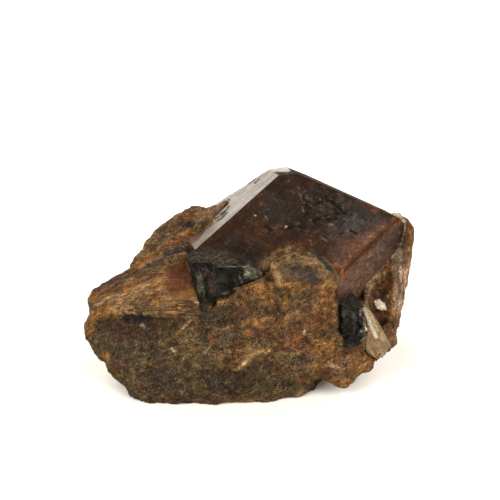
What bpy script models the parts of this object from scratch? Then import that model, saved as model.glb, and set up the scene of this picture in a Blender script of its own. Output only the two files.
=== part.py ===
"""Garnet in matrix: a broken garnet crystal held in brown granular rock, with five smaller minerals.

Lengths are in millimetres while the shapes are made, and in metres once they are placed. X runs to the
right, Y to the back and Z up. The specimen rests on Z = 0, with the middle of its outline over the origin.
"""

import itertools
import math

import bmesh
import bpy
from mathutils import Matrix, Vector, noise

MM = 0.001

# The large garnet: a rhombic dodecahedron with one three-fold corner nearly straight up.
GARNET_EDGE = 20.5
GARNET_CENTRE = Vector((7.0, 9.4, 11.0))
GARNET_TURN = 11.2
GARNET_SIDE_LEAN = -2.5
GARNET_BACK_LEAN = 4.5

# It grew further on its left than a perfect crystal, and a narrow face cuts its top ridge.
GARNET_LEFT_GROWTH = 1.0
GARNET_RIDGE_CUT = 0.9
LEFT_FACES = ((1.0, 0.0, -1.0), (1.0, -1.0, 0.0))

# Breaks that end the garnet: outward direction, a point on the break, height of its roughness.
GARNET_BREAKS = (
    ((-0.28, 0.84, 0.46), (4.4, 15.4, 28.6), 0.45),
    ((0.04, 0.99, -0.10), (5.0, 18.6, 20.0), 0.5),
    ((0.50, 0.85, 0.12), (18.0, 14.0, 20.0), 0.45),
    ((0.62, -0.30, -0.72), (24.0, 0.5, 13.0), 0.0),
    ((0.0, 0.0, -1.0), (0.0, 0.0, 6.5), 0.0),
)

# Pits etched into the garnet's front face: middle, long radius, short radius, turn in degrees.
PIT_DEPTH = 0.3
PIT_RAISE = 0.04
PITS = (
    ((11.2, -0.4, 25.4), 1.5, 0.55, -35),
    ((13.4, 0.2, 25.8), 1.7, 0.5, 12),
    ((15.6, 1.2, 26.4), 1.3, 0.6, 55),
    ((12.9, -3.0, 22.9), 1.2, 0.3, -20),
    ((6.4, -0.9, 25.0), 0.8, 0.4, 30),
)

# Clearance between pieces that touch.
GAP = 0.3

# The rock: size of the cubes that join its lumps, height of its roughness, and its number of triangles.
ROCK_CELL = 0.65
ROCK_SWELL = 0.32
ROCK_FACET = 5.5
ROCK_FACET_HEIGHT = 0.5
ROCK_GRAIN = 2.2
ROCK_GRAIN_HEIGHT = 0.24
ROCK_WEAR_PASSES = 2
ROCK_TRIANGLES = 6600

# Limits for the solid work: the block that everything fits in, and the shortest edge kept.
SIZE_OF_SPACE = 120.0
SMALLEST_EDGE = 0.001

# Each lump of the rock is the hull of its corner points (x, y, z).
ROCK_LUMPS = {
    "front_mass": (
        (-21.6, -9.4, 0.0), (-17.4, -15.7, -0.5), (-8.0, -16.5, -0.5), (3.3, -15.3, -0.5),
        (8.4, -13.8, -0.4), (11.5, -10.6, 0.2), (10.0, 6.0, 0.2), (-4.0, 12.0, 0.2),
        (-16.0, 9.0, 0.2), (-21.2, 0.0, 0.1), (-19.4, -12.0, 3.0), (-16.2, -15.8, 2.2),
        (-8.0, -16.5, 2.6), (1.6, -15.9, 2.7), (8.2, -14.3, 2.6), (-21.0, -12.4, 9.0),
        (-16.0, -14.1, 9.0), (-8.0, -15.2, 8.8), (0.0, -15.5, 8.9), (8.0, -14.8, 9.5),
        (-27.7, -7.2, 8.6), (-27.5, -6.9, 10.3), (-26.4, -7.9, 6.1), (-23.6, -8.6, 3.2),
        (-25.3, -7.9, 11.6), (-19.5, -9.8, 12.8), (-13.7, -11.4, 13.8), (-8.0, -12.5, 14.8),
        (0.0, -13.4, 15.4), (8.0, -12.8, 15.2), (-24.5, 3.0, 4.0), (-25.5, 1.5, 9.0),
        (-20.0, 8.0, 8.0), (12.0, -10.5, 12.0),
    ),
    "left_wedge": (
        (-26.8, -3.6, 13.5), (-23.2, -2.5, 15.1), (-20.2, -1.8, 16.9), (-14.9, -1.4, 19.2),
        (-10.3, -3.8, 21.1), (-26.4, -6.6, 12.8), (-19.8, -9.8, 13.6), (-14.4, -11.5, 15.0),
        (-8.0, -12.7, 15.8), (-8.3, -11.6, 17.0), (-14.2, -10.6, 16.2), (-26.4, -6.0, 10.0),
        (-8.0, -9.0, 8.0), (-24.5, 2.0, 8.0), (-19.0, 4.0, 14.0), (-8.0, 3.0, 16.0),
    ),
    "back_left_lump": (
        (-20.2, 1.6, 17.1), (-17.8, 4.9, 18.5), (-17.0, 6.4, 19.3), (-15.7, 8.1, 20.4),
        (-13.3, 9.1, 21.4), (-11.2, 10.2, 22.4), (-10.2, 10.4, 22.9), (-7.2, 11.3, 22.5),
        (-16.8, 2.0, 18.4), (-11.8, 3.6, 20.4), (-8.0, 4.6, 21.2), (-11.7, -0.4, 19.2),
        (-19.0, 9.0, 12.0), (-15.0, 14.0, 12.0), (-8.0, 16.5, 16.0), (-6.0, 17.5, 10.0),
        (-20.0, 4.0, 8.0), (-14.0, 13.5, 2.0), (-4.0, 16.0, 2.0),
    ),
    "left_shoulder": (
        (-10.2, 1.2, 20.6), (-5.8, 4.9, 23.3), (-7.2, 11.3, 22.4), (-4.9, 13.8, 22.9),
        (-1.9, 16.2, 23.8), (-2.6, 18.5, 20.0), (2.0, 19.5, 17.0), (-8.0, 14.0, 17.0),
        (-9.0, -3.0, 20.8), (-4.0, 4.0, 16.0), (0.0, 12.0, 18.0),
    ),
    "core": (
        (12.0, -10.0, 1.0), (19.5, -8.0, 3.4), (23.0, -4.0, 5.5), (24.2, 4.0, 6.0),
        (22.5, 11.0, 5.0), (16.0, 15.5, 3.0), (6.0, 16.5, 0.6), (-4.0, 15.0, 0.2),
        (9.0, 11.0, 0.2), (12.0, -4.0, 0.4), (24.4, 11.0, 14.0), (17.0, 17.6, 12.0),
        (6.0, 19.6, 14.0), (-3.0, 18.0, 16.0), (24.6, 2.0, 13.0), (-8.0, 0.0, 14.0),
        (14.0, -12.0, 9.0), (19.5, -8.6, 9.0),
    ),
    "front_right": (
        (8.0, -14.8, 9.5), (13.7, -13.6, 9.5), (15.4, -13.6, 8.6), (12.0, -15.0, 7.4),
        (11.3, -12.8, 3.0), (8.2, -14.3, 2.8), (19.5, -11.6, 6.4), (13.0, -7.0, 2.0),
        (20.0, -4.0, 5.0), (2.0, -15.1, 12.8), (13.2, -14.2, 12.2), (0.0, -13.4, 15.6),
        (14.0, -7.0, 12.0), (19.5, -9.0, 9.5),
    ),
    "foot_under_block": (
        (2.4, -13.8, 16.0), (1.8, -11.0, 19.0), (-2.0, -12.6, 16.6), (-4.2, -12.2, 17.2),
        (-6.4, -12.4, 15.8), (4.6, -14.6, 14.4), (4.0, -8.0, 13.0), (-6.0, -8.0, 13.0),
        (2.6, -8.4, 20.4), (0.2, -10.8, 18.6),
    ),
    "lower_lobe": (
        (11.6, -12.8, 3.0), (13.8, -13.8, 1.8), (15.6, -13.9, 1.5), (16.8, -13.2, 2.1),
        (17.6, -12.6, 3.0), (12.5, -14.6, 6.0), (16.8, -13.6, 6.2), (13.0, -8.0, 3.0),
        (17.0, -8.0, 3.6),
    ),
    "right_lobe": (
        (16.8, -12.2, 3.3), (20.0, -12.2, 3.3), (20.5, -11.4, 4.2), (19.8, -11.8, 6.1),
        (17.0, -13.2, 7.0), (16.0, -7.0, 4.0), (20.0, -7.0, 5.0),
    ),
    "lobe_under_vein": (
        (19.3, -11.6, 5.6), (22.0, -10.4, 5.7), (23.0, -9.3, 6.8), (24.6, -6.6, 6.6),
        (20.0, -6.0, 6.0), (22.0, -4.0, 7.0), (20.0, -9.0, 9.5), (23.0, -5.6, 9.0),
    ),
    "right_crust": (
        (24.7, 1.8, 25.4), (26.1, 1.9, 24.6), (27.4, 2.1, 23.2), (26.4, 0.2, 19.0),
        (26.0, -0.8, 15.8), (24.9, -2.8, 11.6), (24.5, -3.9, 9.3), (24.6, -4.8, 7.5),
        (24.1, -6.3, 6.9), (22.8, -8.2, 7.1), (25.2, 0.9, 24.2), (23.9, -1.4, 20.0),
        (23.0, -3.2, 14.2), (22.8, -5.7, 9.0), (26.4, 8.0, 20.0), (26.0, 10.0, 13.0),
        (24.6, 11.0, 7.5), (24.2, 14.0, 17.0), (24.9, 8.0, 23.0), (22.0, 2.0, 8.0),
        (23.4, 14.6, 19.4), (24.4, 12.0, 21.0),
    ),
    "right_recess": (
        (19.9, -3.4, 16.0), (18.6, -4.8, 14.2), (22.9, -0.9, 19.6), (20.8, -4.4, 11.8),
        (22.6, -4.4, 9.8), (23.6, -1.6, 16.0), (17.0, -6.0, 9.0), (18.0, 2.0, 10.0),
        (24.0, 4.0, 18.0), (24.6, 1.6, 23.0),
    ),
    "back_foot": (
        (-14.0, 14.0, 1.0), (-8.0, 17.6, 1.6), (-4.0, 19.4, 8.0), (-12.0, 17.6, 9.0),
        (-9.5, 18.2, 14.0), (-15.0, 13.6, 14.0), (4.0, 18.6, 3.0), (0.0, 19.8, 10.0),
        (-6.0, 13.0, 0.3), (-14.0, 9.0, 0.3), (-3.0, 18.6, 16.0),
    ),
    "back_ledge": (
        (4.0, 20.2, 9.0), (15.0, 18.8, 8.0), (21.5, 14.0, 15.5), (14.0, 18.6, 15.0),
        (3.0, 20.6, 17.0), (-4.0, 19.0, 13.0), (2.0, 17.0, 2.5), (18.0, 15.0, 5.0),
        (0.0, 14.0, 16.0), (20.0, 12.0, 16.0), (-2.0, 19.4, 19.0),
    ),
}

# Hollows cut into the rock: hulls of their corner points.
ROCK_HOLLOWS = {
    "slit_over_facet": (
        (-14.6, -1.0, 20.6), (-9.6, -2.4, 22.6), (-10.2, -3.4, 20.4), (-13.6, -1.9, 19.0),
        (-9.0, -0.6, 20.2), (-13.0, 0.4, 20.8),
    ),
    "crevice_under_diopside": (
        (-8.6, -13.4, 17.6), (-4.8, -14.4, 16.9), (-7.4, -14.6, 14.6), (-7.6, -11.8, 15.8),
        (-5.8, -12.2, 17.2), (-8.6, -12.0, 17.4),
    ),
    "slot_in_crust": (
        (22.2, -7.0, 9.2), (24.0, -6.4, 9.6), (24.2, -6.2, 8.8), (22.3, -6.9, 8.4),
        (23.0, -3.8, 9.0),
    ),
}

# The smaller minerals: hulls of their corner points.
SMALL_GARNET = (
    (3.9, -11.3, 20.6), (14.0, -10.0, 21.0), (14.0, -14.4, 12.9), (4.2, -15.2, 13.3),
    (3.3, -7.4, 21.3), (5.6, -6.2, 22.2), (8.1, -5.7, 22.6), (11.0, -6.3, 22.3),
    (13.1, -7.4, 21.5), (14.1, -9.0, 20.4), (4.5, -8.0, 12.0), (14.0, -8.0, 12.0),
    (8.8, -11.8, 20.9), (8.8, -6.0, 16.0),
)
DIOPSIDE = (
    (-9.7, -5.7, 22.7), (-5.7, -6.1, 22.7), (-1.6, -7.2, 21.6), (1.9, -8.0, 20.3),
    (2.3, -9.0, 19.8), (-0.8, -11.0, 19.7), (-3.5, -12.5, 18.1), (-7.1, -12.5, 17.4),
    (-8.7, -9.9, 20.2), (-9.4, -8.0, 21.7), (-7.0, -8.0, 15.0), (-1.0, -8.0, 15.5),
    (-4.0, -10.4, 20.9), (-8.0, -5.0, 17.0),
)
DIOPSIDE_SCOOP_RADIUS = 5.2
DIOPSIDE_SCOOP_CENTRE = (-5.0, -14.6, 23.6)
BLACK_CRYSTAL = (
    (14.9, -9.2, 14.9), (16.6, -6.4, 15.5), (17.9, -6.6, 14.4), (19.0, -8.6, 11.9),
    (19.2, -10.1, 10.3), (17.9, -12.4, 9.2), (15.4, -13.8, 9.6), (14.7, -12.8, 12.9),
    (16.6, -12.6, 12.2), (15.5, -7.0, 9.0), (18.0, -7.0, 9.5),
)
PALE_VEIN = (
    (17.9, -5.6, 13.7), (19.2, -5.2, 13.2), (20.5, -7.8, 11.7), (23.1, -10.1, 7.4),
    (22.2, -11.4, 6.2), (20.9, -12.3, 5.8), (19.0, -12.0, 7.7), (18.4, -9.0, 9.0),
    (20.0, -5.0, 9.0), (22.0, -7.0, 6.8), (21.2, -10.8, 9.0),
)
WHITE_GRAIN = (
    (20.6, -5.0, 12.9), (21.6, -5.1, 13.2), (22.4, -5.2, 12.6), (22.5, -5.3, 11.6),
    (21.5, -5.7, 11.5), (20.8, -5.7, 12.1), (21.6, -6.0, 12.3), (21.5, -3.6, 12.3),
)


def clear_scene():
    for item in list(bpy.data.objects):
        bpy.data.objects.remove(item, do_unlink=True)


def new_collection(name):
    group = bpy.data.collections.new(name)
    bpy.context.scene.collection.children.link(group)
    return group


def make_material(name, colour, roughness):
    material = bpy.data.materials.new(name)
    material.use_nodes = True
    shader = material.node_tree.nodes["Principled BSDF"]
    shader.inputs["Base Color"].default_value = (*colour, 1.0)
    shader.inputs["Roughness"].default_value = roughness
    shader.inputs["Metallic"].default_value = 0.0
    return material


def add_object(name, bm, group):
    """Puts a finished bmesh in the scene as an object, and frees the bmesh."""
    bmesh.ops.recalc_face_normals(bm, faces=bm.faces)
    mesh = bpy.data.meshes.new(name)
    bm.to_mesh(mesh)
    bm.free()
    item = bpy.data.objects.new(name, mesh)
    group.objects.link(item)
    return item


def add_cutter(name, bm, group):
    item = add_object(name, bm, group)
    item.hide_render = True
    item.display_type = "WIRE"
    return item


def hull(points):
    """The convex hull of some points, with its flat faces merged."""
    bm = bmesh.new()
    for point in points:
        bm.verts.new(point)
    made = bmesh.ops.convex_hull(bm, input=bm.verts)
    inside = set(made["geom_interior"]) | set(made["geom_unused"])
    spare = [item for item in inside if isinstance(item, bmesh.types.BMVert) and item.is_valid]
    bmesh.ops.delete(bm, geom=spare, context="VERTS")
    bmesh.ops.recalc_face_normals(bm, faces=bm.faces)
    return bm


def planes_of(bm):
    return [(face.normal.copy(), face.calc_center_median()) for face in bm.faces]


def solid_from_planes(planes, grow=0.0):
    """The solid behind all the planes (outward normal, point), each moved out by grow."""
    bm = bmesh.new()
    bmesh.ops.create_cube(bm, size=SIZE_OF_SPACE)
    for normal, point in planes:
        out = Vector(normal).normalized()
        everything = bm.verts[:] + bm.edges[:] + bm.faces[:]
        cut = bmesh.ops.bisect_plane(
            bm, geom=everything, dist=1e-5, plane_co=Vector(point) + out * grow, plane_no=out, clear_outer=True
        )
        rim = [item for item in cut["geom_cut"] if isinstance(item, bmesh.types.BMEdge)]
        if rim:
            bmesh.ops.edgeloop_fill(bm, edges=rim)
    bmesh.ops.remove_doubles(bm, verts=bm.verts, dist=1e-4)
    bmesh.ops.recalc_face_normals(bm, faces=bm.faces)
    return bm


def grown_hull(points, grow=GAP):
    """The hull of some points with every face moved out, which leaves the clearance around a piece."""
    bm = hull(points)
    bmesh.ops.dissolve_limit(bm, angle_limit=math.radians(1.0), verts=bm.verts, edges=bm.edges)
    planes = planes_of(bm)
    bm.free()
    return solid_from_planes(planes, grow)


def apply_modifiers(item):
    """Replaces an object's mesh by what its modifiers make of it."""
    bpy.context.view_layer.update()
    graph = bpy.context.evaluated_depsgraph_get()
    mesh = bpy.data.meshes.new_from_object(item.evaluated_get(graph))
    item.modifiers.clear()
    item.data = mesh


def cut_away(item, cutters):
    for cutter in cutters:
        boolean = item.modifiers.new(cutter.name, "BOOLEAN")
        boolean.operation = "DIFFERENCE"
        boolean.object = cutter
    apply_modifiers(item)


def keep_largest_body(item):
    """Drops crumbs that a cut has left loose."""
    bm = bmesh.new()
    bm.from_mesh(item.data)
    left = set(bm.verts)
    bodies = []
    while left:
        body = set()
        stack = [left.pop()]
        while stack:
            vert = stack.pop()
            body.add(vert)
            for edge in vert.link_edges:
                other = edge.other_vert(vert)
                if other in left:
                    left.discard(other)
                    stack.append(other)
        bodies.append(body)
    bodies.sort(key=len, reverse=True)
    crumbs = [vert for body in bodies[1:] for vert in body]
    bmesh.ops.delete(bm, geom=crumbs, context="VERTS")
    bm.to_mesh(item.data)
    bm.free()


def tidy_mesh(item):
    """Triangles only, with no doubled points and no slivers."""
    bm = bmesh.new()
    bm.from_mesh(item.data)
    bmesh.ops.remove_doubles(bm, verts=bm.verts, dist=SMALLEST_EDGE)
    bmesh.ops.dissolve_degenerate(bm, dist=SMALLEST_EDGE, edges=bm.edges)
    bmesh.ops.triangulate(bm, faces=bm.faces)
    bmesh.ops.recalc_face_normals(bm, faces=bm.faces)
    bm.to_mesh(item.data)
    bm.free()


def garnet_axes():
    """The crystal's own axes with a three-fold corner up, then turned and leaned to their place."""
    up = Vector((1.0, 1.0, 1.0)).normalized()
    face = Vector((1.0, 1.0, 0.0)).normalized()
    back = (face.dot(up) * up - face).normalized()
    upright = Matrix((back.cross(up), back, up))
    turn = Matrix.Rotation(math.radians(GARNET_TURN), 3, "Z")
    side = Matrix.Rotation(math.radians(GARNET_SIDE_LEAN), 3, "Y")
    nod = Matrix.Rotation(math.radians(GARNET_BACK_LEAN), 3, "X")
    return nod @ side @ turn @ upright


def garnet_planes():
    """The twelve faces of the dodecahedron and the breaks that end it."""
    axes = garnet_axes()
    reach = GARNET_EDGE * math.sqrt(2.0 / 3.0)
    planes = []
    for first, second in itertools.combinations(range(3), 2):
        for signs in itertools.product((1.0, -1.0), repeat=2):
            direction = Vector((0.0, 0.0, 0.0))
            direction[first] = signs[0]
            direction[second] = signs[1]
            normal = axes @ direction.normalized()
            grown = GARNET_LEFT_GROWTH if tuple(direction) in LEFT_FACES else 0.0
            planes.append((normal, GARNET_CENTRE + normal * (reach + grown)))
    ridge = axes @ Vector((1.0, 1.0, 2.0)).normalized()
    corner = axes @ Vector((1.0, 1.0, 1.0)).normalized() * GARNET_EDGE
    planes.append((ridge, GARNET_CENTRE + corner - ridge * GARNET_RIDGE_CUT))
    for normal, point, _ in GARNET_BREAKS:
        planes.append((Vector(normal).normalized(), Vector(point)))
    return planes


def rough_break(index, group):
    """A block whose lower face is rough, laid on a break of the garnet to cut it uneven."""
    normal, point, height = GARNET_BREAKS[index]
    out = Vector(normal).normalized()
    bm = bmesh.new()
    bmesh.ops.create_grid(bm, x_segments=26, y_segments=26, size=24.0)
    for vert in bm.verts:
        spot = vert.co * 0.32 + Vector((index * 7.0, 3.0, 1.0))
        ridge = noise.fractal(spot, 0.8, 2.1, 3)
        vert.co.z = -height * (0.9 + 1.1 * ridge)
    top = bmesh.ops.extrude_face_region(bm, geom=bm.faces[:])
    raised = [item for item in top["geom"] if isinstance(item, bmesh.types.BMVert)]
    for vert in raised:
        vert.co.z = 30.0
    bm.transform(Matrix.Translation(Vector(point)) @ out.to_track_quat("Z", "Y").to_matrix().to_4x4())
    return add_cutter("break_block_%d" % index, bm, group)


def pit_cutter(number, pit, group):
    """A shallow lens with an uneven outline, sunk into the garnet's front face."""
    middle, long_radius, short_radius, turn = pit
    axes = garnet_axes()
    normal = axes @ Vector((1.0, 1.0, 0.0)).normalized()
    reach = GARNET_EDGE * math.sqrt(2.0 / 3.0)
    lift = reach - (Vector(middle) - GARNET_CENTRE).dot(normal)
    place = Vector(middle) + normal * (lift + PIT_RAISE)
    bm = bmesh.new()
    bmesh.ops.create_icosphere(bm, subdivisions=2, radius=1.0)
    for vert in bm.verts:
        wobble = 1.0 + 0.35 * noise.noise(vert.co * 1.9 + Vector((number * 5.0, 0.0, 0.0)))
        vert.co = Vector((vert.co.x * long_radius, vert.co.y * short_radius, vert.co.z * PIT_DEPTH)) * wobble
    spin = Matrix.Rotation(math.radians(turn), 4, "Z")
    facing = normal.to_track_quat("Z", "Y").to_matrix().to_4x4()
    bm.transform(Matrix.Translation(place) @ facing @ spin)
    return add_cutter("pit_%d" % number, bm, group)


def make_garnet(parts, cutters):
    garnet = add_object("garnet_crystal", solid_from_planes(garnet_planes()), parts)
    rough = [rough_break(index, cutters) for index, item in enumerate(GARNET_BREAKS) if item[2] > 0.0]
    pits = [pit_cutter(number, pit, cutters) for number, pit in enumerate(PITS)]
    cut_away(garnet, rough + pits)
    keep_largest_body(garnet)
    return garnet


def facet_height(spot):
    """Height of the broken facets: each cell of the rock has a face of its own tilt."""
    centre = noise.voronoi(spot / ROCK_FACET)[1][0]
    tilt = noise.cell_vector(centre * 3.1) - Vector((0.5, 0.5, 0.5))
    return (spot / ROCK_FACET - centre).dot(tilt) * 2.0


def roughen_rock(item):
    """Breaks the smooth lumps into facets and grains."""
    bm = bmesh.new()
    bm.from_mesh(item.data)
    bm.normal_update()
    moves = []
    for vert in bm.verts:
        facets = facet_height(vert.co) * ROCK_FACET_HEIGHT
        grains = noise.fractal(vert.co / ROCK_GRAIN, 0.9, 2.0, 2) * ROCK_GRAIN_HEIGHT
        moves.append(vert.normal * (ROCK_SWELL + facets + grains))
    for vert, move in zip(bm.verts, moves):
        vert.co += move
    for _ in range(ROCK_WEAR_PASSES):
        bmesh.ops.smooth_vert(bm, verts=bm.verts, factor=0.35, use_axis_x=True, use_axis_y=True, use_axis_z=True)
    bm.to_mesh(item.data)
    bm.free()


def join_lumps(lumps, name, group):
    """One object holding all the lumps as overlapping hulls, ready to be remeshed into one body."""
    whole = bmesh.new()
    for points in lumps.values():
        lump = hull(points)
        mesh = bpy.data.meshes.new(name)
        lump.to_mesh(mesh)
        lump.free()
        whole.from_mesh(mesh)
        bpy.data.meshes.remove(mesh)
    return add_object(name, whole, group)


def thin_out(item, triangles):
    """Merges small triangles where the surface is nearly flat."""
    count = sum(len(face.vertices) - 2 for face in item.data.polygons)
    decimate = item.modifiers.new("thin_out", "DECIMATE")
    decimate.ratio = min(1.0, triangles / count)
    apply_modifiers(item)


def floor_cutter(group):
    bm = bmesh.new()
    bmesh.ops.create_cube(bm, size=SIZE_OF_SPACE)
    bm.transform(Matrix.Translation((0.0, 0.0, -SIZE_OF_SPACE / 2.0)))
    return add_cutter("floor_plane", bm, group)


def make_rock(parts, cutters, sockets):
    rock = join_lumps(ROCK_LUMPS, "matrix", parts)
    remesh = rock.modifiers.new("join", "REMESH")
    remesh.mode = "VOXEL"
    remesh.voxel_size = ROCK_CELL
    apply_modifiers(rock)
    hollows = [add_cutter(name, hull(points), cutters) for name, points in ROCK_HOLLOWS.items()]
    roughen_rock(rock)
    thin_out(rock, ROCK_TRIANGLES)
    cut_away(rock, [floor_cutter(cutters)] + hollows + sockets)
    keep_largest_body(rock)
    return rock


def scoop_cutter(group):
    """The ball that leaves a shell-shaped break in the diopside."""
    bm = bmesh.new()
    bmesh.ops.create_icosphere(bm, subdivisions=3, radius=DIOPSIDE_SCOOP_RADIUS)
    bm.transform(Matrix.Translation(DIOPSIDE_SCOOP_CENTRE))
    return add_cutter("diopside_scoop", bm, group)


def make_minerals(parts, cutters):
    """The small minerals, each cut back from the neighbours that it touches."""
    clear_of_garnet = add_cutter("garnet_clearance", solid_from_planes(garnet_planes(), GAP), cutters)
    clear_of_block = add_cutter("small_garnet_clearance", grown_hull(SMALL_GARNET), cutters)
    clear_of_black = add_cutter("black_crystal_clearance", grown_hull(BLACK_CRYSTAL), cutters)
    clear_of_vein = add_cutter("pale_vein_clearance", grown_hull(PALE_VEIN), cutters)
    block = add_object("small_garnet", hull(SMALL_GARNET), parts)
    cut_away(block, [clear_of_garnet])
    diopside = add_object("diopside_crystal", hull(DIOPSIDE), parts)
    cut_away(diopside, [clear_of_garnet, clear_of_block, scoop_cutter(cutters)])
    black = add_object("black_crystal", hull(BLACK_CRYSTAL), parts)
    cut_away(black, [clear_of_garnet, clear_of_block])
    vein = add_object("pale_vein", hull(PALE_VEIN), parts)
    cut_away(vein, [clear_of_garnet, clear_of_black])
    grain = add_object("white_grain", hull(WHITE_GRAIN), parts)
    cut_away(grain, [clear_of_garnet, clear_of_vein])
    clear_of_diopside = add_cutter("diopside_clearance", grown_hull(DIOPSIDE), cutters)
    clear_of_grain = add_cutter("white_grain_clearance", grown_hull(WHITE_GRAIN), cutters)
    minerals = [block, diopside, black, vein, grain]
    for item in minerals:
        keep_largest_body(item)
    sockets = [
        clear_of_garnet, clear_of_block, clear_of_diopside, clear_of_black, clear_of_vein, clear_of_grain
    ]
    return minerals, sockets


def give_looks(items):
    looks = {
        "garnet_crystal": ((0.085, 0.030, 0.018), 0.28),
        "matrix": ((0.190, 0.095, 0.038), 0.75),
        "small_garnet": ((0.230, 0.105, 0.035), 0.45),
        "diopside_crystal": ((0.020, 0.024, 0.018), 0.30),
        "black_crystal": ((0.010, 0.010, 0.012), 0.12),
        "pale_vein": ((0.330, 0.270, 0.190), 0.45),
        "white_grain": ((0.720, 0.640, 0.470), 0.55),
    }
    for item in items:
        colour, roughness = looks[item.name]
        item.data.materials.clear()
        item.data.materials.append(make_material(item.name, colour, roughness))


def settle(items):
    """Brings the middle of the outline over the origin, and the size from millimetres to metres."""
    corners = [vert.co for item in items for vert in item.data.vertices]
    middle_x = (min(c.x for c in corners) + max(c.x for c in corners)) / 2.0
    middle_y = (min(c.y for c in corners) + max(c.y for c in corners)) / 2.0
    lowest = min(c.z for c in corners)
    place = Matrix.Scale(MM, 4) @ Matrix.Translation((-middle_x, -middle_y, -lowest))
    for item in items:
        item.data.transform(place)
        item.data.update()
    return place


def build():
    clear_scene()
    parts = new_collection("garnet_in_matrix")
    cutters = new_collection("cutters")
    garnet = make_garnet(parts, cutters)
    minerals, sockets = make_minerals(parts, cutters)
    rock = make_rock(parts, cutters, sockets)
    pieces = [garnet, rock] + minerals
    for item in pieces:
        tidy_mesh(item)
    give_looks(pieces)
    return settle(pieces)


build()
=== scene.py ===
"""Looks of the garnet in matrix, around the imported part. A mesh is in mm until its piece is finished."""

import itertools
import math

import bmesh
import bpy
import numpy as np
from mathutils import Matrix, Vector
from mathutils.bvhtree import BVHTree


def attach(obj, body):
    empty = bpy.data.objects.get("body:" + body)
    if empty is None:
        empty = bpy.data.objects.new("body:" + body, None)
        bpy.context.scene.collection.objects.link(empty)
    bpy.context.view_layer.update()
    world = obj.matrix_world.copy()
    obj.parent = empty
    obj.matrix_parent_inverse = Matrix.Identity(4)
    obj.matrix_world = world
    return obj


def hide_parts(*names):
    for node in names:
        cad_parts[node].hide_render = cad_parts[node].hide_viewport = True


MM = 0.001

# Camera: a long lens, looking down at the front of the specimen.
IMAGE_SIDE = 500
LENS = 110.0
SENSOR = 36.0
LOOK_DOWN = math.radians(26)
DISTANCE = 254.63
AIM = Vector((0.149, -1.929, 20.0))
RIGHT = Vector((1, 0, 0))
UP = Vector((0, math.sin(LOOK_DOWN), math.cos(LOOK_DOWN)))
OUT = Vector((0, -math.cos(LOOK_DOWN), math.sin(LOOK_DOWN)))
EYE = AIM + OUT * DISTANCE
ACROSS, UPWARD, OUTWARD = (np.array(way) for way in (RIGHT, UP, OUT))
PIXEL = DISTANCE * SENSOR / (LENS * IMAGE_SIDE)
HALF_IMAGE = IMAGE_SIDE / 2

# Sizes of the mesh cells.
ROCK_CELL = 0.31
GARNET_CELL = 0.25
SMALL_CELL = 0.16

# Where the rock meets the crystals.
SKIN_OVER = 0.5  # how far its skin first covers the small crystals
SKIN_SINK = 0.9  # how far the skin then sinks under their faces
SKIN_REACH = 1.3  # from how far off a face pulls the skin under it
DIOPSIDE_SINK = 1.3  # how far the skin lies behind the diopside's face
BLACK_SINK = 1.0  # how far it lies behind the black crystal's face
CRYSTAL_DEPTH = 6.0  # how deep into the rock the outlines of these two reach
SECOND_FACE_SINK = 0.3  # how far it lies behind the large garnet's second face
GARNET_REACH = 0.95  # how wide a gap beside the large garnet closes
GARNET_OVERLAP = 0.1  # how far the skin then goes into it
RIM_GROW = 0.3  # how far a small crystal grows where the rock is near
SPIKE_LIMIT = 0.28  # how far a point of the skin may stand out from its neighbours

# Distances too far to matter, the gap that welding closes, and how much of its grid a remeshed shape fills.
FAR = 9.0
VERY_FAR = 99.0
WELD = 0.0005
GRID_FILL = 0.9

# Factors that scramble a cell's place into a repeatable number, and how finer noise layers weaken.
MIX_STEPS = (374761393, 668265263, 1442695041)
MIX_FACTOR = 1274126177
MIX_BITS = 0xFFFFFFFF
LAYER_SHARE = 0.55

# Palette of the rock and the crystals.
DARK_BROWN = (0.022, 0.014, 0.008)
BROWN = (0.068, 0.036, 0.015)
ORANGE = (0.160, 0.072, 0.019)
RUST = (0.090, 0.032, 0.010)
TAN = (0.205, 0.118, 0.050)
PALE_TAN = (0.360, 0.262, 0.150)
OLIVE = (0.066, 0.047, 0.019)
GREY_GREEN = (0.038, 0.031, 0.017)
PURPLE = (0.050, 0.026, 0.017)
PURPLE_SPOT = (0.048, 0.020, 0.017)
BLUE_BLACK = (0.012, 0.012, 0.013)
SHADOW = (0.006, 0.004, 0.003)
WHITE = (0.480, 0.410, 0.290)
GREY_BROWN = (0.044, 0.030, 0.020)
FACET_RED = (0.064, 0.020, 0.005)
PALE_GREEN = (0.062, 0.056, 0.034)
VEIN_TAN = (0.146, 0.082, 0.027)
VEIN_PALE = (0.325, 0.232, 0.114)
CRYSTAL_BLACK = (0.004, 0.0035, 0.0028)
CRYSTAL_BROWN = (0.018, 0.012, 0.009)
CRYSTAL_DULL = (0.026, 0.020, 0.013)
GARNET_BROWN = (0.016, 0.008, 0.004)
GARNET_RED = (0.025, 0.010, 0.004)
GARNET_RUST = (0.048, 0.017, 0.006)
GARNET_DARK = (0.009, 0.006, 0.004)
# A grey tone on some faces, also used as painted sheen on the large garnet's right corner and on the black
# crystal.
GREY_TONE_AND_SHEEN = (0.031, 0.025, 0.021)
GARNET_SLATE = (0.017, 0.0125, 0.0115)
GARNET_PLUM = (0.084, 0.041, 0.026)
GARNET_SECOND = (0.084, 0.046, 0.032)
GARNET_SECOND_LOW = (0.118, 0.060, 0.038)
SCRATCH = (0.110, 0.085, 0.060)
# Silvery grey of the left face, partly painted reflection.
SILVER_TONE_AND_SHEEN = (0.150, 0.108, 0.072)
APEX_HIGHLIGHT = (0.360, 0.315, 0.260)
EDGE_GLOW = (0.120, 0.052, 0.027)
WARM_SHINE = (1.0, 0.86, 0.74, 1.0)
CRUST_TAN = (0.270, 0.190, 0.125)
CRUST_PINK = (0.150, 0.085, 0.060)
ROCK_WARMTH = (0.96, 0.915, 0.87)
EDGE_CORE = (0.045, 0.012, 0.002)
EDGE_ORANGE = (0.180, 0.060, 0.012)

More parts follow.
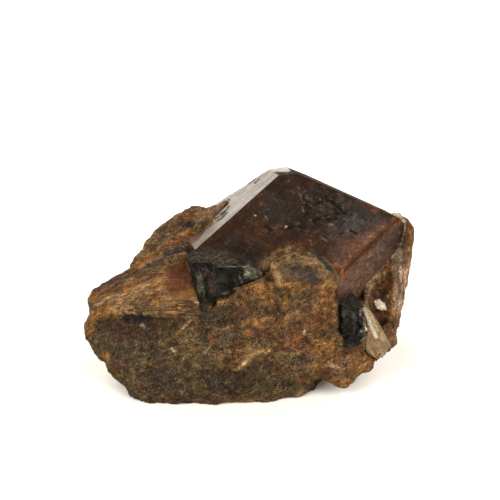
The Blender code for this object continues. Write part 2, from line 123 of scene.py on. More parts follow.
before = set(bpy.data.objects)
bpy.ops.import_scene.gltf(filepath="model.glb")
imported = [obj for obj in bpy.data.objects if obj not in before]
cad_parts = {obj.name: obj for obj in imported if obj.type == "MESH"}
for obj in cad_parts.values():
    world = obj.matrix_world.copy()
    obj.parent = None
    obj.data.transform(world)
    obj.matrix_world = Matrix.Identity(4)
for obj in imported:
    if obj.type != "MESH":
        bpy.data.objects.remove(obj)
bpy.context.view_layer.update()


# ---------------------------------------------------------------- noise


def cell_numbers(cells, seed):
    """A repeatable number from 0 to 1 for each whole-number cell."""
    mixed = seed * MIX_FACTOR + sum(cells[:, i].astype(np.int64) * MIX_STEPS[i] for i in range(3))
    mixed &= MIX_BITS
    mixed = ((mixed ^ (mixed >> 13)) * MIX_FACTOR) & MIX_BITS
    return (mixed ^ (mixed >> 16)) / MIX_BITS


def soft_noise(points, size, seed):
    """Soft random values from -1 to 1 that change over about this size."""
    scaled = points / size
    cell = np.floor(scaled)
    part = scaled - cell
    part = part * part * (3 - 2 * part)
    total = np.zeros(len(points))
    for corner in itertools.product((0, 1), repeat=3):
        share = np.prod(np.where(np.array(corner), part, 1 - part), axis=1)
        total += share * cell_numbers(cell + corner, seed)
    return 2 * total - 1


def layered_noise(points, size, seed, layers=4):
    """Soft noise with finer and weaker layers on top, from about -1 to 1."""
    total = np.zeros(len(points))
    strength = LAYER_SHARE
    for layer in range(layers):
        total += strength * soft_noise(points, size / 2**layer, seed + layer)
        strength *= LAYER_SHARE
    return total


def grains(points, size, seed):
    """Packed grains: how deep each point lies in its grain, from 0 at the rim, and the grain's own number."""
    scaled = points / size
    cell = np.floor(scaled)
    nearest = np.full(len(points), FAR)
    second = np.full(len(points), FAR)
    own = np.zeros(len(points))
    for step in itertools.product((-1, 0, 1), repeat=3):
        there = cell + step
        heart = there + np.stack([cell_numbers(there, seed + axis) for axis in range(3)], axis=1)
        gap = np.linalg.norm(scaled - heart, axis=1)
        closer = gap < nearest
        second = np.where(closer, nearest, np.minimum(second, gap))
        own = np.where(closer, cell_numbers(there, seed + 3), own)
        nearest = np.where(closer, gap, nearest)
    return np.clip(second - nearest, 0, 1), own


def smooth_step(low, high, values):
    """0 below low, 1 above high, with a soft rise between them."""
    share = np.clip((values - low) / (high - low), 0, 1)
    return share * share * (3 - 2 * share)


def fall(low, high, values):
    """1 below low, 0 above high, with a soft fall between them."""
    return 1 - smooth_step(low, high, values)


def blotches(points, size, seed, low, high):
    """Blotches about this large: 1 where layered noise is above high, 0 where it is below low."""
    return smooth_step(low, high, layered_noise(points, size, seed))


# ---------------------------------------------------------------- meshes


def read_points(mesh):
    """Every point's place, and the way that the surface faces there."""
    both = []
    for kind in ("co", "normal"):
        flat = np.empty(len(mesh.vertices) * 3)
        mesh.vertices.foreach_get(kind, flat)
        both.append(flat.reshape(-1, 3))
    return both


def move_points(mesh, points):
    mesh.vertices.foreach_set("co", points.ravel())
    mesh.update()


def edited(*meshes):
    """These meshes as one shape that can be edited."""
    shape = bmesh.new()
    for mesh in meshes:
        shape.from_mesh(mesh)
    return shape


def written(shape, mesh=None):
    """Writes an edited shape to this mesh, or to a new one."""
    mesh = mesh or bpy.data.meshes.new("shape")
    shape.to_mesh(mesh)
    shape.free()
    return mesh


def joined(meshes):
    """Several meshes as one."""
    return written(edited(*meshes))


def cad_mesh(*nodes):
    """The shapes of these CAD nodes as one welded mesh, in mm."""
    shape = edited(*(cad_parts[node].data for node in nodes))
    bmesh.ops.scale(shape, vec=(1 / MM, 1 / MM, 1 / MM), verts=shape.verts)
    bmesh.ops.remove_doubles(shape, verts=shape.verts, dist=WELD)
    return written(shape)


def tree_of(mesh):
    """A search tree for the nearest place and for rays."""
    faces = [tuple(face.vertices) for face in mesh.polygons]
    return BVHTree.FromPolygons([v.co.copy() for v in mesh.vertices], faces)


def add_object(name, data):
    """Puts a mesh, a lamp or a camera into the scene."""
    thing = bpy.data.objects.new(name, data)
    bpy.context.scene.collection.objects.link(thing)
    return thing


def fine_mesh(mesh, cell, keep_edges):
    """The same shape in even small cells, with its edges kept crisp or softened."""
    work = add_object("work", mesh)
    remesh = work.modifiers.new("fine", "REMESH")
    if keep_edges:
        span = float(np.ptp(read_points(mesh)[0], axis=0).max())
        remesh.mode = "SHARP"
        remesh.octree_depth = math.ceil(math.log2(span / (GRID_FILL * cell)))
        remesh.scale = span / (cell * 2**remesh.octree_depth)
        remesh.use_remove_disconnected = False
    else:
        remesh.mode = "VOXEL"
        remesh.voxel_size = cell
    fine = bpy.data.meshes.new_from_object(work.evaluated_get(bpy.context.evaluated_depsgraph_get()))
    bpy.data.objects.remove(work)
    return fine


def gaps_to(points, tree, reach):
    """For each point, the nearest place on a surface and how far it is (FAR when past reach)."""
    places = points.copy()
    gaps = np.full(len(points), FAR)
    for i, point in enumerate(points):
        place, _, _, gap = tree.find_nearest(Vector(point), reach)
        if place is not None:
            places[i] = place
            gaps[i] = gap
    return places, gaps


def close_gap(points, tree, reach, overlap):
    """Pulls the points that lie near a neighbour's surface up to it, and a little into it."""
    places, gaps = gaps_to(points, tree, reach)
    pull = fall(0.45 * reach, reach, gaps)
    away = places - points
    length = np.maximum(np.linalg.norm(away, axis=1), 1e-6)
    points += away * (pull * (1 + overlap / length))[:, None]


def keep_largest(mesh):
    """Deletes closed pockets and loose crumbs, so that one closed shape is left."""
    shape = edited(mesh)
    waiting = set(shape.verts)
    parts = []
    while waiting:
        part = [waiting.pop()]
        for vert in part:
            for edge in vert.link_edges:
                other = edge.other_vert(vert)
                if other in waiting:
                    waiting.remove(other)
                    part.append(other)
        parts.append(part)
    parts.sort(key=len)
    for part in parts[:-1]:
        bmesh.ops.delete(shape, geom=part, context="VERTS")
    return written(shape, mesh)


def calm_spikes(mesh, points, limit):
    """Draws in the points that stand out from their neighbours by more than this."""
    ends = np.empty(len(mesh.edges) * 2, dtype=np.int32)
    mesh.edges.foreach_get("vertices", ends)
    first, second = ends.reshape(-1, 2).T
    count = np.maximum(np.bincount(ends, minlength=len(points)), 1)
    for _ in range(5):
        middle = np.zeros_like(points)
        for axis in range(3):
            middle[:, axis] += np.bincount(first, points[second, axis], len(points))
            middle[:, axis] += np.bincount(second, points[first, axis], len(points))
        away = points - middle / count[:, None]
        length = np.maximum(np.linalg.norm(away, axis=1), 1e-6)
        points -= away * np.maximum(1 - limit / length, 0)[:, None]


def refined(mesh, corners, facing):
    """Splits the cells of one face inside an outline in the picture, so that its marks come out crisp."""
    shape = edited(mesh)
    centres = np.array([face.calc_center_median() for face in shape.faces])
    inside = outline_share(centres, corners, 0.5, 0.0, 5, 30.0) > 0.5
    edges = set()
    for face, chosen in zip(shape.faces, inside):
        if chosen and face.normal.dot(facing) > 0.5:
            edges.update(face.edges)
    bmesh.ops.subdivide_edges(shape, edges=list(edges), cuts=1, use_grid_fill=True)
    return written(shape, mesh)


ALL_SOLIDS = tree_of(cad_mesh(*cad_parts))


def hull_mesh(corners):
    """The closed shape stretched over these corners."""
    shape = bmesh.new()
    for corner in corners:
        shape.verts.new(Vector(corner))
    bmesh.ops.convex_hull(shape, input=shape.verts)
    loose = [vert for vert in shape.verts if not vert.link_faces]
    bmesh.ops.delete(shape, geom=loose, context="VERTS")
    bmesh.ops.recalc_face_normals(shape, faces=shape.faces)
    return written(shape)


def grown(mesh, amount):
    """The same shape with its surface moved outward."""
    larger = mesh.copy()
    points, normals = read_points(mesh)
    move_points(larger, points + normals * amount)
    return larger


def ray_through(x, y):
    """Direction of the camera's ray through this place in the picture."""
    target = AIM + RIGHT * ((x - HALF_IMAGE) * PIXEL) + UP * ((HALF_IMAGE - y) * PIXEL)
    return (target - EYE).normalized()


def seen(x, y, lift=0.0):
    """The place on the solids that shows here in the picture, lifted off the surface by this much."""
    direction = ray_through(x, y)
    place, normal, _, _ = ALL_SOLIDS.ray_cast(EYE, direction)
    if place is None:
        return np.array(EYE + direction * DISTANCE)
    return np.array(place + normal * lift)


def in_picture(points):
    """Where each point shows in the picture."""
    offset = points - np.array(EYE)
    depth = -(offset @ OUTWARD)
    scale = LENS / SENSOR * IMAGE_SIDE / depth
    return HALF_IMAGE + offset @ ACROSS * scale, HALF_IMAGE - offset @ UPWARD * scale


def rays_to_plane(points, place, facing):
    """The camera's ray to each point: its direction, its length, and how far off a plane lies along it."""
    start = np.array(EYE)
    reach = points - start
    length = np.linalg.norm(reach, axis=1)
    direction = reach / length[:, None]
    return direction, length, ((place - start) @ facing) / (direction @ facing)


# ---------------------------------------------------------------- painting on the mesh


def local_axes(points, spot, lean):
    """How far each point is from a place in the picture: along a leaning line, across it, to the front."""
    offset = points - seen(*spot)
    across = offset @ ACROSS
    upward = offset @ UPWARD
    turn = math.radians(lean)
    along = across * math.cos(turn) + upward * math.sin(turn)
    athwart = upward * math.cos(turn) - across * math.sin(turn)
    return along, athwart, offset @ OUTWARD


def patch_share(points, x, y, long, wide, lean=0.0, ragged=0.6, seed=7):
    """1 inside a leaning oval patch, 0 outside, with a ragged rim. Place and half sizes are in pixels."""
    along, athwart, depth = local_axes(points, (x, y), lean)
    half_long = long * PIXEL
    half_wide = wide * PIXEL
    deep = max(half_long, half_wide, 1.5)
    away = np.sqrt((along / half_long) ** 2 + (athwart / half_wide) ** 2 + (depth / deep) ** 2)
    grain = min(2.0, max(0.5, 1.4 * half_wide))
    share = np.zeros(len(points))
    near = away < 2.2
    share[near] = fall(0.6, 1.3, away[near] + ragged * layered_noise(points[near], grain, seed))
    return share


def cloud_share(points, x, y, long, wide, lean, seed):
    """Like patch_share, but it fades out slowly from the middle."""
    along, athwart, depth = local_axes(points, (x, y), lean)
    half_long = long * PIXEL
    away = (along / half_long) ** 2 + (athwart / (wide * PIXEL)) ** 2 + (depth / max(half_long, 6.0)) ** 2
    near = away < 6
    away[near] += 0.7 * layered_noise(points[near], 2.0, seed)
    return np.exp(-np.maximum(away, 0))


def outline_share(points, corners, soft, ragged, seed=5, deep=5.0):
    """1 inside a bulging outline in the picture, 0 outside, with a rim this many pixels soft and ragged."""
    x, y = in_picture(points)
    inside = np.full(len(points), VERY_FAR)
    centre = np.mean(np.array(corners, float), axis=0)
    for (x0, y0), (x1, y1) in zip(corners, corners[1:] + corners[:1]):
        length = math.hypot(x1 - x0, y1 - y0)
        side = ((x1 - x0) * (y - y0) - (y1 - y0) * (x - x0)) / length
        inner = ((x1 - x0) * (centre[1] - y0) - (y1 - y0) * (centre[0] - x0)) / length
        inside = np.minimum(inside, side * np.sign(inner))
    near = np.abs(inside) < soft + 2 * ragged
    inside[near] += ragged * layered_noise(points[near], 1.2, seed, 3)
    depth = np.abs((points - seen(*centre)) @ OUTWARD)
    return smooth_step(-0.5 * soft, 0.5 * soft, inside) * fall(0.7 * deep, deep, depth)


def line_gap(points, corners):
    """Distance of each point from a bent line that goes through these places in the picture."""
    places = [seen(*corner) for corner in corners]
    nearest = np.full(len(points), VERY_FAR)
    for start, end in zip(places, places[1:]):
        span = end - start
        share = np.clip((points - start) @ span / max(span @ span, 1e-9), 0, 1)
        nearest = np.minimum(nearest, np.linalg.norm(points - start - share[:, None] * span, axis=1))
    return nearest


def picture_gap(points, corners):
    """Distance in pixels, as the picture shows it, from a bent line through these places."""
    x, y = in_picture(points)
    nearest = np.full(len(points), VERY_FAR)
    for (x0, y0), (x1, y1) in zip(corners, corners[1:]):
        length = (x1 - x0) ** 2 + (y1 - y0) ** 2
        share = np.clip(((x - x0) * (x1 - x0) + (y - y0) * (y1 - y0)) / length, 0, 1)
        nearest = np.minimum(nearest, np.hypot(x - x0 - share * (x1 - x0), y - y0 - share * (y1 - y0)))
    return nearest


def paint(tint, share, colour):
    """Lays a colour over the tint by each point's share."""
    tint += (np.array(colour) - tint) * np.clip(share, 0, 1)[:, None]


def plain_tint(points, colour):
    """One colour for all the points."""
    return np.tile(np.array(colour), (len(points), 1))


def paint_patches(tint, points, patches):
    """Paints patches in rows of place, half sizes, lean, colour and strength."""
    for number, (*oval, colour, strength) in enumerate(patches):
        paint(tint, strength * patch_share(points, *oval, seed=30 + 5 * number), colour)


def paint_lines(tint, points, lines):
    """Paints lines in rows of corners, half width in mm, colour and strength."""
    for number, (corners, width, colour, strength) in enumerate(lines):
        gap = np.where(line_gap(points, corners) < 0.9 + width, PIXEL * picture_gap(points, corners), FAR)
        near = gap < 1.5 * width
        gap[near] += 0.3 * width * soft_noise(points[near], 0.8, 90 + number)
        paint(tint, strength * fall(0.5 * width, width, gap), colour)


def marks_of(points, *marks):
    """Up to three marks per point, side by side, for a material to read."""
    full = np.zeros((len(points), 3))
    for column, mark in enumerate(marks):
        full[:, column] = mark
    return full


def store(mesh, name, colours):
    """Keeps one colour per point under this name."""
    layer = mesh.color_attributes.new(name=name, type="FLOAT_COLOR", domain="POINT")
    full = np.ones((len(colours), 4))
    full[:, : colours.shape[1]] = np.clip(colours, 0, 1)
    layer.data.foreach_set("color", full.ravel())


def finish_piece(name, mesh, points, crisp_angle, material, *nodes, **colours):
    """Turns a mesh in mm into a piece of the scene that stands for its CAD node, with colours per point."""
    for layer, values in colours.items():
        store(mesh, layer, values)
    move_points(mesh, points)
    mesh.transform(Matrix.Scale(MM, 4))
    mesh.shade_smooth()
    mesh.set_sharp_from_angle(angle=math.radians(crisp_angle))
    mesh.name = name
    mesh.materials.clear()
    mesh.materials.append(material)
    piece = add_object(name, mesh)
    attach(piece, "root")
    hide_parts(*nodes)


# ---------------------------------------------------------------- material nodes


class Shader:
    """A material with short ways to add and join nodes."""

    def __init__(self, name):
        self.material = bpy.data.materials.new(name)
        self.material.use_nodes = True
        self.tree = self.material.node_tree
        self.tree.nodes.clear()
        output = self.add("OutputMaterial")
        self.surface = self.add("BsdfPrincipled")
        self.give(output, 0, self.surface.outputs[0])

    def give(self, node, name, value):
        """Joins another node's socket to this input, or sets the input to a plain value."""
        if isinstance(value, bpy.types.NodeSocket):
            self.tree.links.new(value, node.inputs[name])
        else:
            node.inputs[name].default_value = value

    def feed(self, name, value):
        """Gives one of the surface's own inputs a socket or a plain value."""
        self.give(self.surface, name, value)

    def add(self, kind, inputs=None, **settings):
        """A new node with these settings, and a socket or a plain value for each of these inputs."""
        node = self.tree.nodes.new("ShaderNode" + kind)
        for name, value in settings.items():
            setattr(node, name, value)
        for name, value in (inputs or {}).items():
            self.give(node, name, value)
        return node

    def place(self, stretch=(1, 1, 1), turn=(0, 0, 0)):
        """Coordinates in mm on the object, along axes that are turned and then stretched."""
        inputs = {
            "Vector": self.add("TexCoord").outputs["Object"],
            "Scale": tuple(s * MM for s in stretch),
            "Rotation": tuple(math.radians(t) for t in turn),
        }
        return self.add("Mapping", inputs, vector_type="TEXTURE").outputs["Vector"]

    def noise(self, place, size, detail=3.0, rough=0.55, bend=0.0):
        inputs = {"Vector": place, "Scale": 1 / size, "Detail": detail, "Roughness": rough}
        return self.add("TexNoise", {**inputs, "Distortion": bend}).outputs["Fac"]

    def cells(self, place, size, feature="F1"):
        return self.add("TexVoronoi", {"Vector": place, "Scale": 1 / size}, feature=feature)

    def warped(self, place, size, amount):
        """The same place, pushed about by a fine noise so that cells get uneven rims."""
        noise = self.add("TexNoise", {"Vector": place, "Scale": 1 / size, "Detail": 2.0})
        inputs = {0: noise.outputs["Color"], 1: (amount, amount, amount), 2: place}
        return self.add("VectorMath", inputs, operation="MULTIPLY_ADD").outputs[0]

    def ramp(self, value, *stops):
        """A value read off a curve of (place, height) stops."""
        node = self.add("ValToRGB", {"Fac": value})
        marks = node.color_ramp.elements
        marks.remove(marks[0])
        for number, (place, height) in enumerate(stops):
            mark = marks[0] if number == 0 else marks.new(place)
            mark.position = place
            mark.color = (height, height, height, 1)
        return node.outputs["Color"]

    def mix(self, share, first, second, kind="MIX"):
        """Mixes two colours. Each may be a socket or a plain colour."""
        first, second = ((*value, 1) if isinstance(value, tuple) else value for value in (first, second))
        inputs = {0: share, 6: first, 7: second}
        return self.add("Mix", inputs, data_type="RGBA", blend_type=kind, clamp_result=False).outputs[2]

    def times(self, first, second, share=1.0):
        """Multiplies a colour by another, by this share."""
        return self.mix(share, first, second, "MULTIPLY")

    def math(self, kind, *values):
        return self.add("Math", dict(enumerate(values)), operation=kind).outputs[0]

    def painted(self, name):
        return self.add("Attribute", attribute_name=name).outputs["Color"]

    def parts(self, colour):
        return self.add("SeparateColor", {0: colour}).outputs

    def bump(self, height, depth, strength=1.0, under=None):
        inputs = {"Strength": strength, "Distance": depth * MM, "Height": height}
        if under is not None:
            inputs["Normal"] = under
        return self.add("Bump", inputs).outputs[0]


def grain_tones(shader, tint, own, mottle, grain_tone, dust):
    """Mottled and dusty grains, some of them rusty and some greyish."""
    toned = shader.times(tint, mottle, 0.9)
    toned = shader.times(toned, grain_tone, 0.5)
    toned = shader.times(toned, dust, 0.9)
    rusty = shader.times(toned, (1.1, 0.95, 0.8))
    toned = shader.mix(shader.ramp(own[1], (0.6, 0.0), (0.8, 0.7)), toned, rusty)
    greyed = shader.times(toned, (0.9, 1.0, 1.1))
    return shader.mix(shader.ramp(own[1], (0.2, 0.6), (0.38, 0.0)), toned, greyed)


def combed_tones(shader, toned, blotched, fibres):
    """Slanting, level and upright fibres where they are painted, and how fibrous each place is."""
    slant = shader.noise(shader.place((6, 1, 1), (0, FIBRE_TURN, 0)), 0.3, 4.0, 0.65, 0.2)
    level = shader.noise(shader.place((12, 1, 1)), 0.34, 3.0, 0.6)
    upright = shader.noise(shader.place((1, 1, 7)), 0.32, 4.0, 0.65, 0.2)
    combed = shader.math("MAXIMUM", fibres[0], shader.math("MAXIMUM", fibres[1], fibres[2]))
    for share, streak in ((fibres[0], slant), (fibres[1], level), (fibres[2], upright)):
        streak_tone = shader.ramp(streak, (0.36, 0.25), (0.5, 0.9), (0.64, 2.2))
        toned = shader.mix(share, toned, shader.times(blotched, streak_tone))
    return toned, combed


def pale_strokes_and_glints(shader, toned, tint, speckle, place):
    """Small pale strokes in flocks: partly pale grains, partly painted glints."""
    stroke_noise = shader.noise(shader.place((2.6, 1, 1), (0, -40, 0)), 0.16, 3.0, 0.6, 0.3)
    strokes = shader.ramp(stroke_noise, (0.55, 0.0), (0.64, 1.0))
    flocks = shader.ramp(shader.noise(place, 1.8, 2.0), (0.42, 0.1), (0.62, 1.0))
    pale = shader.times(shader.mix(0.35, tint, PALE_TAN), (1.7, 1.7, 1.65))
    share = shader.math("MULTIPLY", shader.math("MULTIPLY", strokes, flocks), speckle)
    return shader.mix(share, toned, pale)


def rock_material(name):
    """Granular brown rock: mottled grains, pale strokes that are partly painted glints, dark pits, and fibres
    where they are painted.
    """
    shader = Shader(name)
    place = shader.place()
    uneven = shader.warped(place, 0.4, 0.6)
    cells = shader.cells(uneven, 0.5)
    own = shader.parts(cells.outputs["Color"])
    tint = shader.painted("tint")
    traits = shader.parts(shader.painted("traits"))
    fibres = shader.parts(shader.painted("fibres"))
    polish, speckle = traits[1], traits[2]

    bent_place = shader.place((1.5, 1.2, 1), (0, -25, 0))
    mottle = shader.ramp(shader.noise(bent_place, 0.7, 5.0, 0.74, 0.4), (0.31, 0.3), (0.5, 0.92), (0.67, 2.1))
    grain_tone = shader.ramp(own[0], (0.0, 0.5), (0.5, 0.95), (0.85, 1.25), (1.0, 1.8))
    dust = shader.ramp(shader.noise(place, 0.2, 3.0, 0.65, 0.3), (0.35, 0.42), (0.5, 0.97), (0.65, 1.9))
    toned = grain_tones(shader, tint, own, mottle, grain_tone, dust)

    blotched = shader.times(tint, mottle, 0.55)
    blotched = shader.times(blotched, dust, 0.35)
    toned, combed = combed_tones(shader, toned, blotched, fibres)

    plain = shader.times(shader.times(tint, mottle, 0.7), dust, 0.3)
    toned = shader.mix(polish, toned, plain)
    # Pale strokes, partly painted glints.
    toned = pale_strokes_and_glints(shader, toned, tint, speckle, place)
    pits = shader.ramp(shader.noise(bent_place, 0.42, 3.0, 0.6), (0.33, 0.8), (0.42, 0.0))
    pits = shader.math("MULTIPLY", pits, shader.math("SUBTRACT", 1.0, shader.math("MAXIMUM", polish, combed)))
    toned = shader.mix(pits, toned, shader.times(toned, (0.25, 0.24, 0.25)))
    shader.feed("Base Color", toned)

    rough = shader.ramp(own[1], (0.0, 0.45), (0.12, 0.75), (1.0, 0.95))
    shader.feed("Roughness", shader.mix(polish, rough, (0.55, 0.55, 0.55)))
    shader.feed("Specular IOR Level", 0.1)
    shader.feed("Specular Tint", WARM_SHINE)

    rim = shader.cells(uneven, 0.5, "DISTANCE_TO_EDGE")
    rise = shader.math("MINIMUM", rim.outputs["Distance"], 0.3)
    rise = shader.math("SUBTRACT", rise, shader.math("MULTIPLY", pits, 0.5))
    rise = shader.math("MULTIPLY", rise, shader.math("SUBTRACT", 1.0, polish))
    body = shader.bump(rise, 0.16, 0.8)
    grit = shader.bump(shader.noise(place, 0.2, 4.0), 0.09, 0.9, body)
    shader.feed("Normal", grit)
    return shader.material


def broken_tones(shader, toned, broken):
    """Chips with dark gaps and glints where the face is broken, and where the gaps are."""
    slanted = shader.place((2.4, 1, 1), (0, 28, 0))
    chips = shader.cells(shader.warped(slanted, 0.7, 0.9), 1.0, "DISTANCE_TO_EDGE")
    gap = shader.math("MULTIPLY", shader.ramp(chips.outputs["Distance"], (0.03, 1.0), (0.1, 0.0)), broken)
    toned = shader.mix(gap, toned, SHADOW)
    chip_shade = shader.ramp(shader.noise(slanted, 0.6, 5.0, 0.75), (0.36, 0.3), (0.5, 1.1), (0.66, 2.6))
    toned = shader.mix(broken, toned, shader.times(toned, chip_shade))
    glints = shader.ramp(shader.noise(slanted, 0.26, 3.0, 0.6), (0.64, 0.0), (0.7, 1.0))
    toned = shader.mix(shader.math("MULTIPLY", glints, shader.math("ADD", broken, 0.06)), toned, SCRATCH)
    return toned, gap


def garnet_material(name):
    """Dark red-brown crystal with a dull gloss, clouds and flecks, and fine breaks where it is cracked."""
    shader = Shader(name)
    place = shader.place()
    tint = shader.painted("tint")
    traits = shader.parts(shader.painted("traits"))
    broken = traits[1]
    cloud = shader.ramp(shader.noise(place, 2.0, 6.0, 0.68, 0.8), (0.3, 0.5), (0.5, 0.95), (0.7, 1.65))
    toned = shader.times(tint, cloud, 0.9)
    dust = shader.ramp(shader.noise(place, 0.35, 4.0, 0.7), (0.32, 0.5), (0.5, 0.97), (0.68, 1.65))
    toned = shader.times(toned, dust, 0.85)
    flecks = shader.cells(shader.warped(place, 0.5, 0.6), 0.5)
    own = shader.parts(flecks.outputs["Color"])
    fleck_tone = shader.ramp(own[0], (0.0, 0.6), (0.8, 1.05), (0.94, 1.2), (1.0, 3.0))
    toned = shader.times(toned, fleck_tone, 0.6)

    lined = shader.noise(shader.place((9, 1, 1), LEFT_FACE_TURN), 0.6, 5.0, 0.7)
    line_tone = shader.ramp(lined, (0.34, 0.55), (0.5, 1.0), (0.66, 1.35))
    toned = shader.mix(traits[2], toned, shader.times(toned, line_tone))
    sheen = shader.math("MULTIPLY", traits[2], shader.ramp(lined, (0.36, 0.25), (0.55, 0.95)))
    shader.feed("Coat Weight", sheen)
    shader.feed("Coat IOR", 2.0)
    shader.feed("Coat Roughness", 0.3)

    toned, gap = broken_tones(shader, toned, broken)
    shader.feed("Base Color", toned)

    smear = shader.ramp(shader.noise(place, 1.3, 5.0, 0.65), (0.3, 0.0), (0.7, 0.22))
    shader.feed("Roughness", shader.math("ADD", traits[0], smear))
    shader.feed("IOR", 1.45)
    shader.feed("Specular IOR Level", 0.12)
    shader.feed("Specular Tint", WARM_SHINE)

    waves = shader.bump(shader.noise(place, 1.8, 3.0), 0.05, 0.35)
    pits = shader.bump(shader.noise(place, 0.3, 4.0), 0.04, 0.6, waves)
    edges = shader.bump(shader.math("SUBTRACT", 1.0, gap), 0.12, 1.0, pits)
    shader.feed("Normal", edges)
    return shader.material


def dark_crystal_material(name, gloss):
    """Dark crystal: dull and fibrous where it isn't broken, glassy on its broken faces."""
    shader = Shader(name)
    place = shader.place()
    tint = shader.painted("tint")
    polish = shader.parts(shader.painted("traits"))[1]
    streaks = shader.noise(shader.place((5, 1, 1), (0, 20, 20)), 0.26, 4.0, 0.7, 0.6)
    tone = shader.ramp(streaks, (0.34, 0.2), (0.5, 0.85), (0.64, 3.2))
    mottle = shader.ramp(shader.noise(place, 0.5, 4.0, 0.6), (0.32, 0.5), (0.68, 1.6))
    toned = shader.times(tint, tone, 0.9)
    toned = shader.times(toned, mottle, 0.8)
    shader.feed("Base Color", toned)
    dull = shader.ramp(shader.noise(place, 0.5, 3.0), (0.3, 0.55), (0.7, 0.8))
    shader.feed("Roughness", shader.mix(polish, dull, (gloss, gloss, gloss)))
    shader.feed("IOR", 1.4)
    shader.feed("Specular IOR Level", 0.11)
    shader.feed("Specular Tint", WARM_SHINE)
    grit = shader.math("MULTIPLY", streaks, shader.math("SUBTRACT", 1.15, polish))
    shader.feed("Normal", shader.bump(grit, 0.14, 0.9))
    return shader.material


def vein_material(name):
    """Pale grey-tan mineral in narrow columns, a little clear."""
    shader = Shader(name)
    place = shader.place()
    tint = shader.painted("tint")
    clouds = shader.ramp(shader.noise(place, 0.5, 4.0, 0.6), (0.3, 0.6), (0.7, 1.35))
    toned = shader.times(tint, clouds, 0.85)
    columns = shader.noise(shader.place((7, 1, 1), (0, 55, 0)), 0.3, 4.0, 0.6, 0.2)
    toned = shader.times(toned, shader.ramp(columns, (0.36, 0.6), (0.5, 0.95), (0.64, 1.45)), 0.8)
    shader.feed("Base Color", toned)
    rough = shader.ramp(shader.noise(place, 0.8, 3.0), (0.3, 0.35), (0.7, 0.6))
    shader.feed("Roughness", rough)
    shader.feed("Specular IOR Level", 0.35)
    shader.feed("Subsurface Weight", 0.2)
    shader.feed("Subsurface Radius", (0.0012, 0.0009, 0.0006))
    shader.feed("Subsurface Scale", 1.0)
    shader.feed("Normal", shader.bump(shader.noise(place, 0.25, 3.0), 0.08, 0.7))
    return shader.material


# ---------------------------------------------------------------- the large garnet

# Patches and clouds: place, half sizes and lean in the picture, then colour and strength.
GARNET_CLOUDS = (
    (240, 225, 34, 22, 35, GARNET_RED, 0.8),
    (300, 183, 26, 9, -25, GARNET_RED, 0.7),
    (275, 212, 20, 16, 0, GREY_TONE_AND_SHEEN, 0.5),
    # The next two clouds paint the sheen of reflected light on the main face's right corner.
    (362, 222, 28, 19, -20, GREY_TONE_AND_SHEEN, 1.0),
    (344, 228, 20, 14, 10, GREY_TONE_AND_SHEEN, 0.8),
    (329, 207, 22, 11, -20, GREY_TONE_AND_SHEEN, 0.35),
    (345, 254, 24, 13, 38, GARNET_PLUM, 1.0),
    (300, 246, 40, 6, 8, GARNET_RUST, 0.9),
    (262, 232, 26, 6, 0, GARNET_RUST, 0.5),
    (238, 246, 12, 9, 0, GARNET_DARK, 0.7),
    (250, 257, 30, 7, -10, GARNET_DARK, 0.7),
    (352, 248, 12, 6, 40, EDGE_GLOW, 0.5),
)
GARNET_PATCHES = (
    (371, 207, 18, 3.5, -27, GARNET_RUST, 0.8),
    (320, 182, 22, 3, -27, GARNET_RUST, 0.4),
    (275, 211, 8, 8, 0, GARNET_SLATE, 0.7),
    (311, 192, 6, 4.5, 0, GARNET_SLATE, 0.65),
    (329, 194, 4, 5, 0, PURPLE_SPOT, 0.3),
    (346, 202, 8, 5, -25, GARNET_PLUM, 0.22),
    (356, 213, 11, 7, -20, GARNET_SLATE, 0.5),
    # Painted sheen on the main face's right corner.
    (376, 227, 7, 8, 0, GREY_TONE_AND_SHEEN, 0.6),
    (333, 232, 6, 8, 0, GARNET_PLUM, 0.2),
    (234, 238, 11, 5, 30, GARNET_SLATE, 0.55),
    (288, 241, 6, 5, 0, GARNET_SLATE, 0.6),
    (257, 222, 9, 6, 0, GARNET_RUST, 0.35),
    (229, 217, 10, 5, 42, OLIVE, 0.22),
    (262, 196, 10, 7, 30, GARNET_RUST, 0.25),
    (252, 240, 8, 5, 0, GARNET_PLUM, 0.15),
    (336, 268, 7, 5, -30, EDGE_ORANGE, 0.6),
    (325, 262, 8, 4, -45, SHADOW, 0.8),
    (312, 252, 7, 3, -10, GREY_GREEN, 0.5),
    (276, 227, 6, 2.5, 0, GARNET_PLUM, 0.5),
    (286.5, 226.5, 1.5, 1.0, 0, PALE_TAN, 0.9),
    (255.5, 215.5, 0.8, 0.8, 0, PALE_TAN, 0.7),
)
EDGE_LINE = ((397.5, 219), (384, 232), (369, 247), (355, 260.5), (342, 273))
EDGE_SIDE = ((394, 214), (380, 228.5), (365, 243.5), (352, 256), (339, 267))
EDGE_FOOT = ((342, 272), (341.5, 279))
EDGE_SPOTS = (
    (341, 274, 2.5, 3.0, 0, EDGE_ORANGE, 0.5),
    (393, 220, 4, 2, 45, EDGE_ORANGE, 0.35),
    (393, 229, 5, 4, 60, GARNET_SECOND_LOW, 0.5),
)
CRACKS = (
    ((304, 214), (309, 218), (314, 222), (320, 218)),
    ((328, 221), (333, 217), (338, 214), (344, 213)),
    ((344, 213), (340, 209), (335, 204), (329, 200)),
    ((318, 203), (325, 200), (333, 202)),
    ((351, 230), (356, 233)),
    ((288, 228), (297, 226), (305, 228)),
    ((264, 225), (272, 230), (279, 229)),
    ((310, 208), (306, 213), (305, 218)),
)
FINE_CRACKS = (
    ((320, 234), (326, 239), (333, 243)),
    ((322, 232), (329, 237)),
    ((350, 232), (353, 238)),
    ((333, 203), (339, 207), (343, 212)),
    ((362, 217), (367, 221)),
)
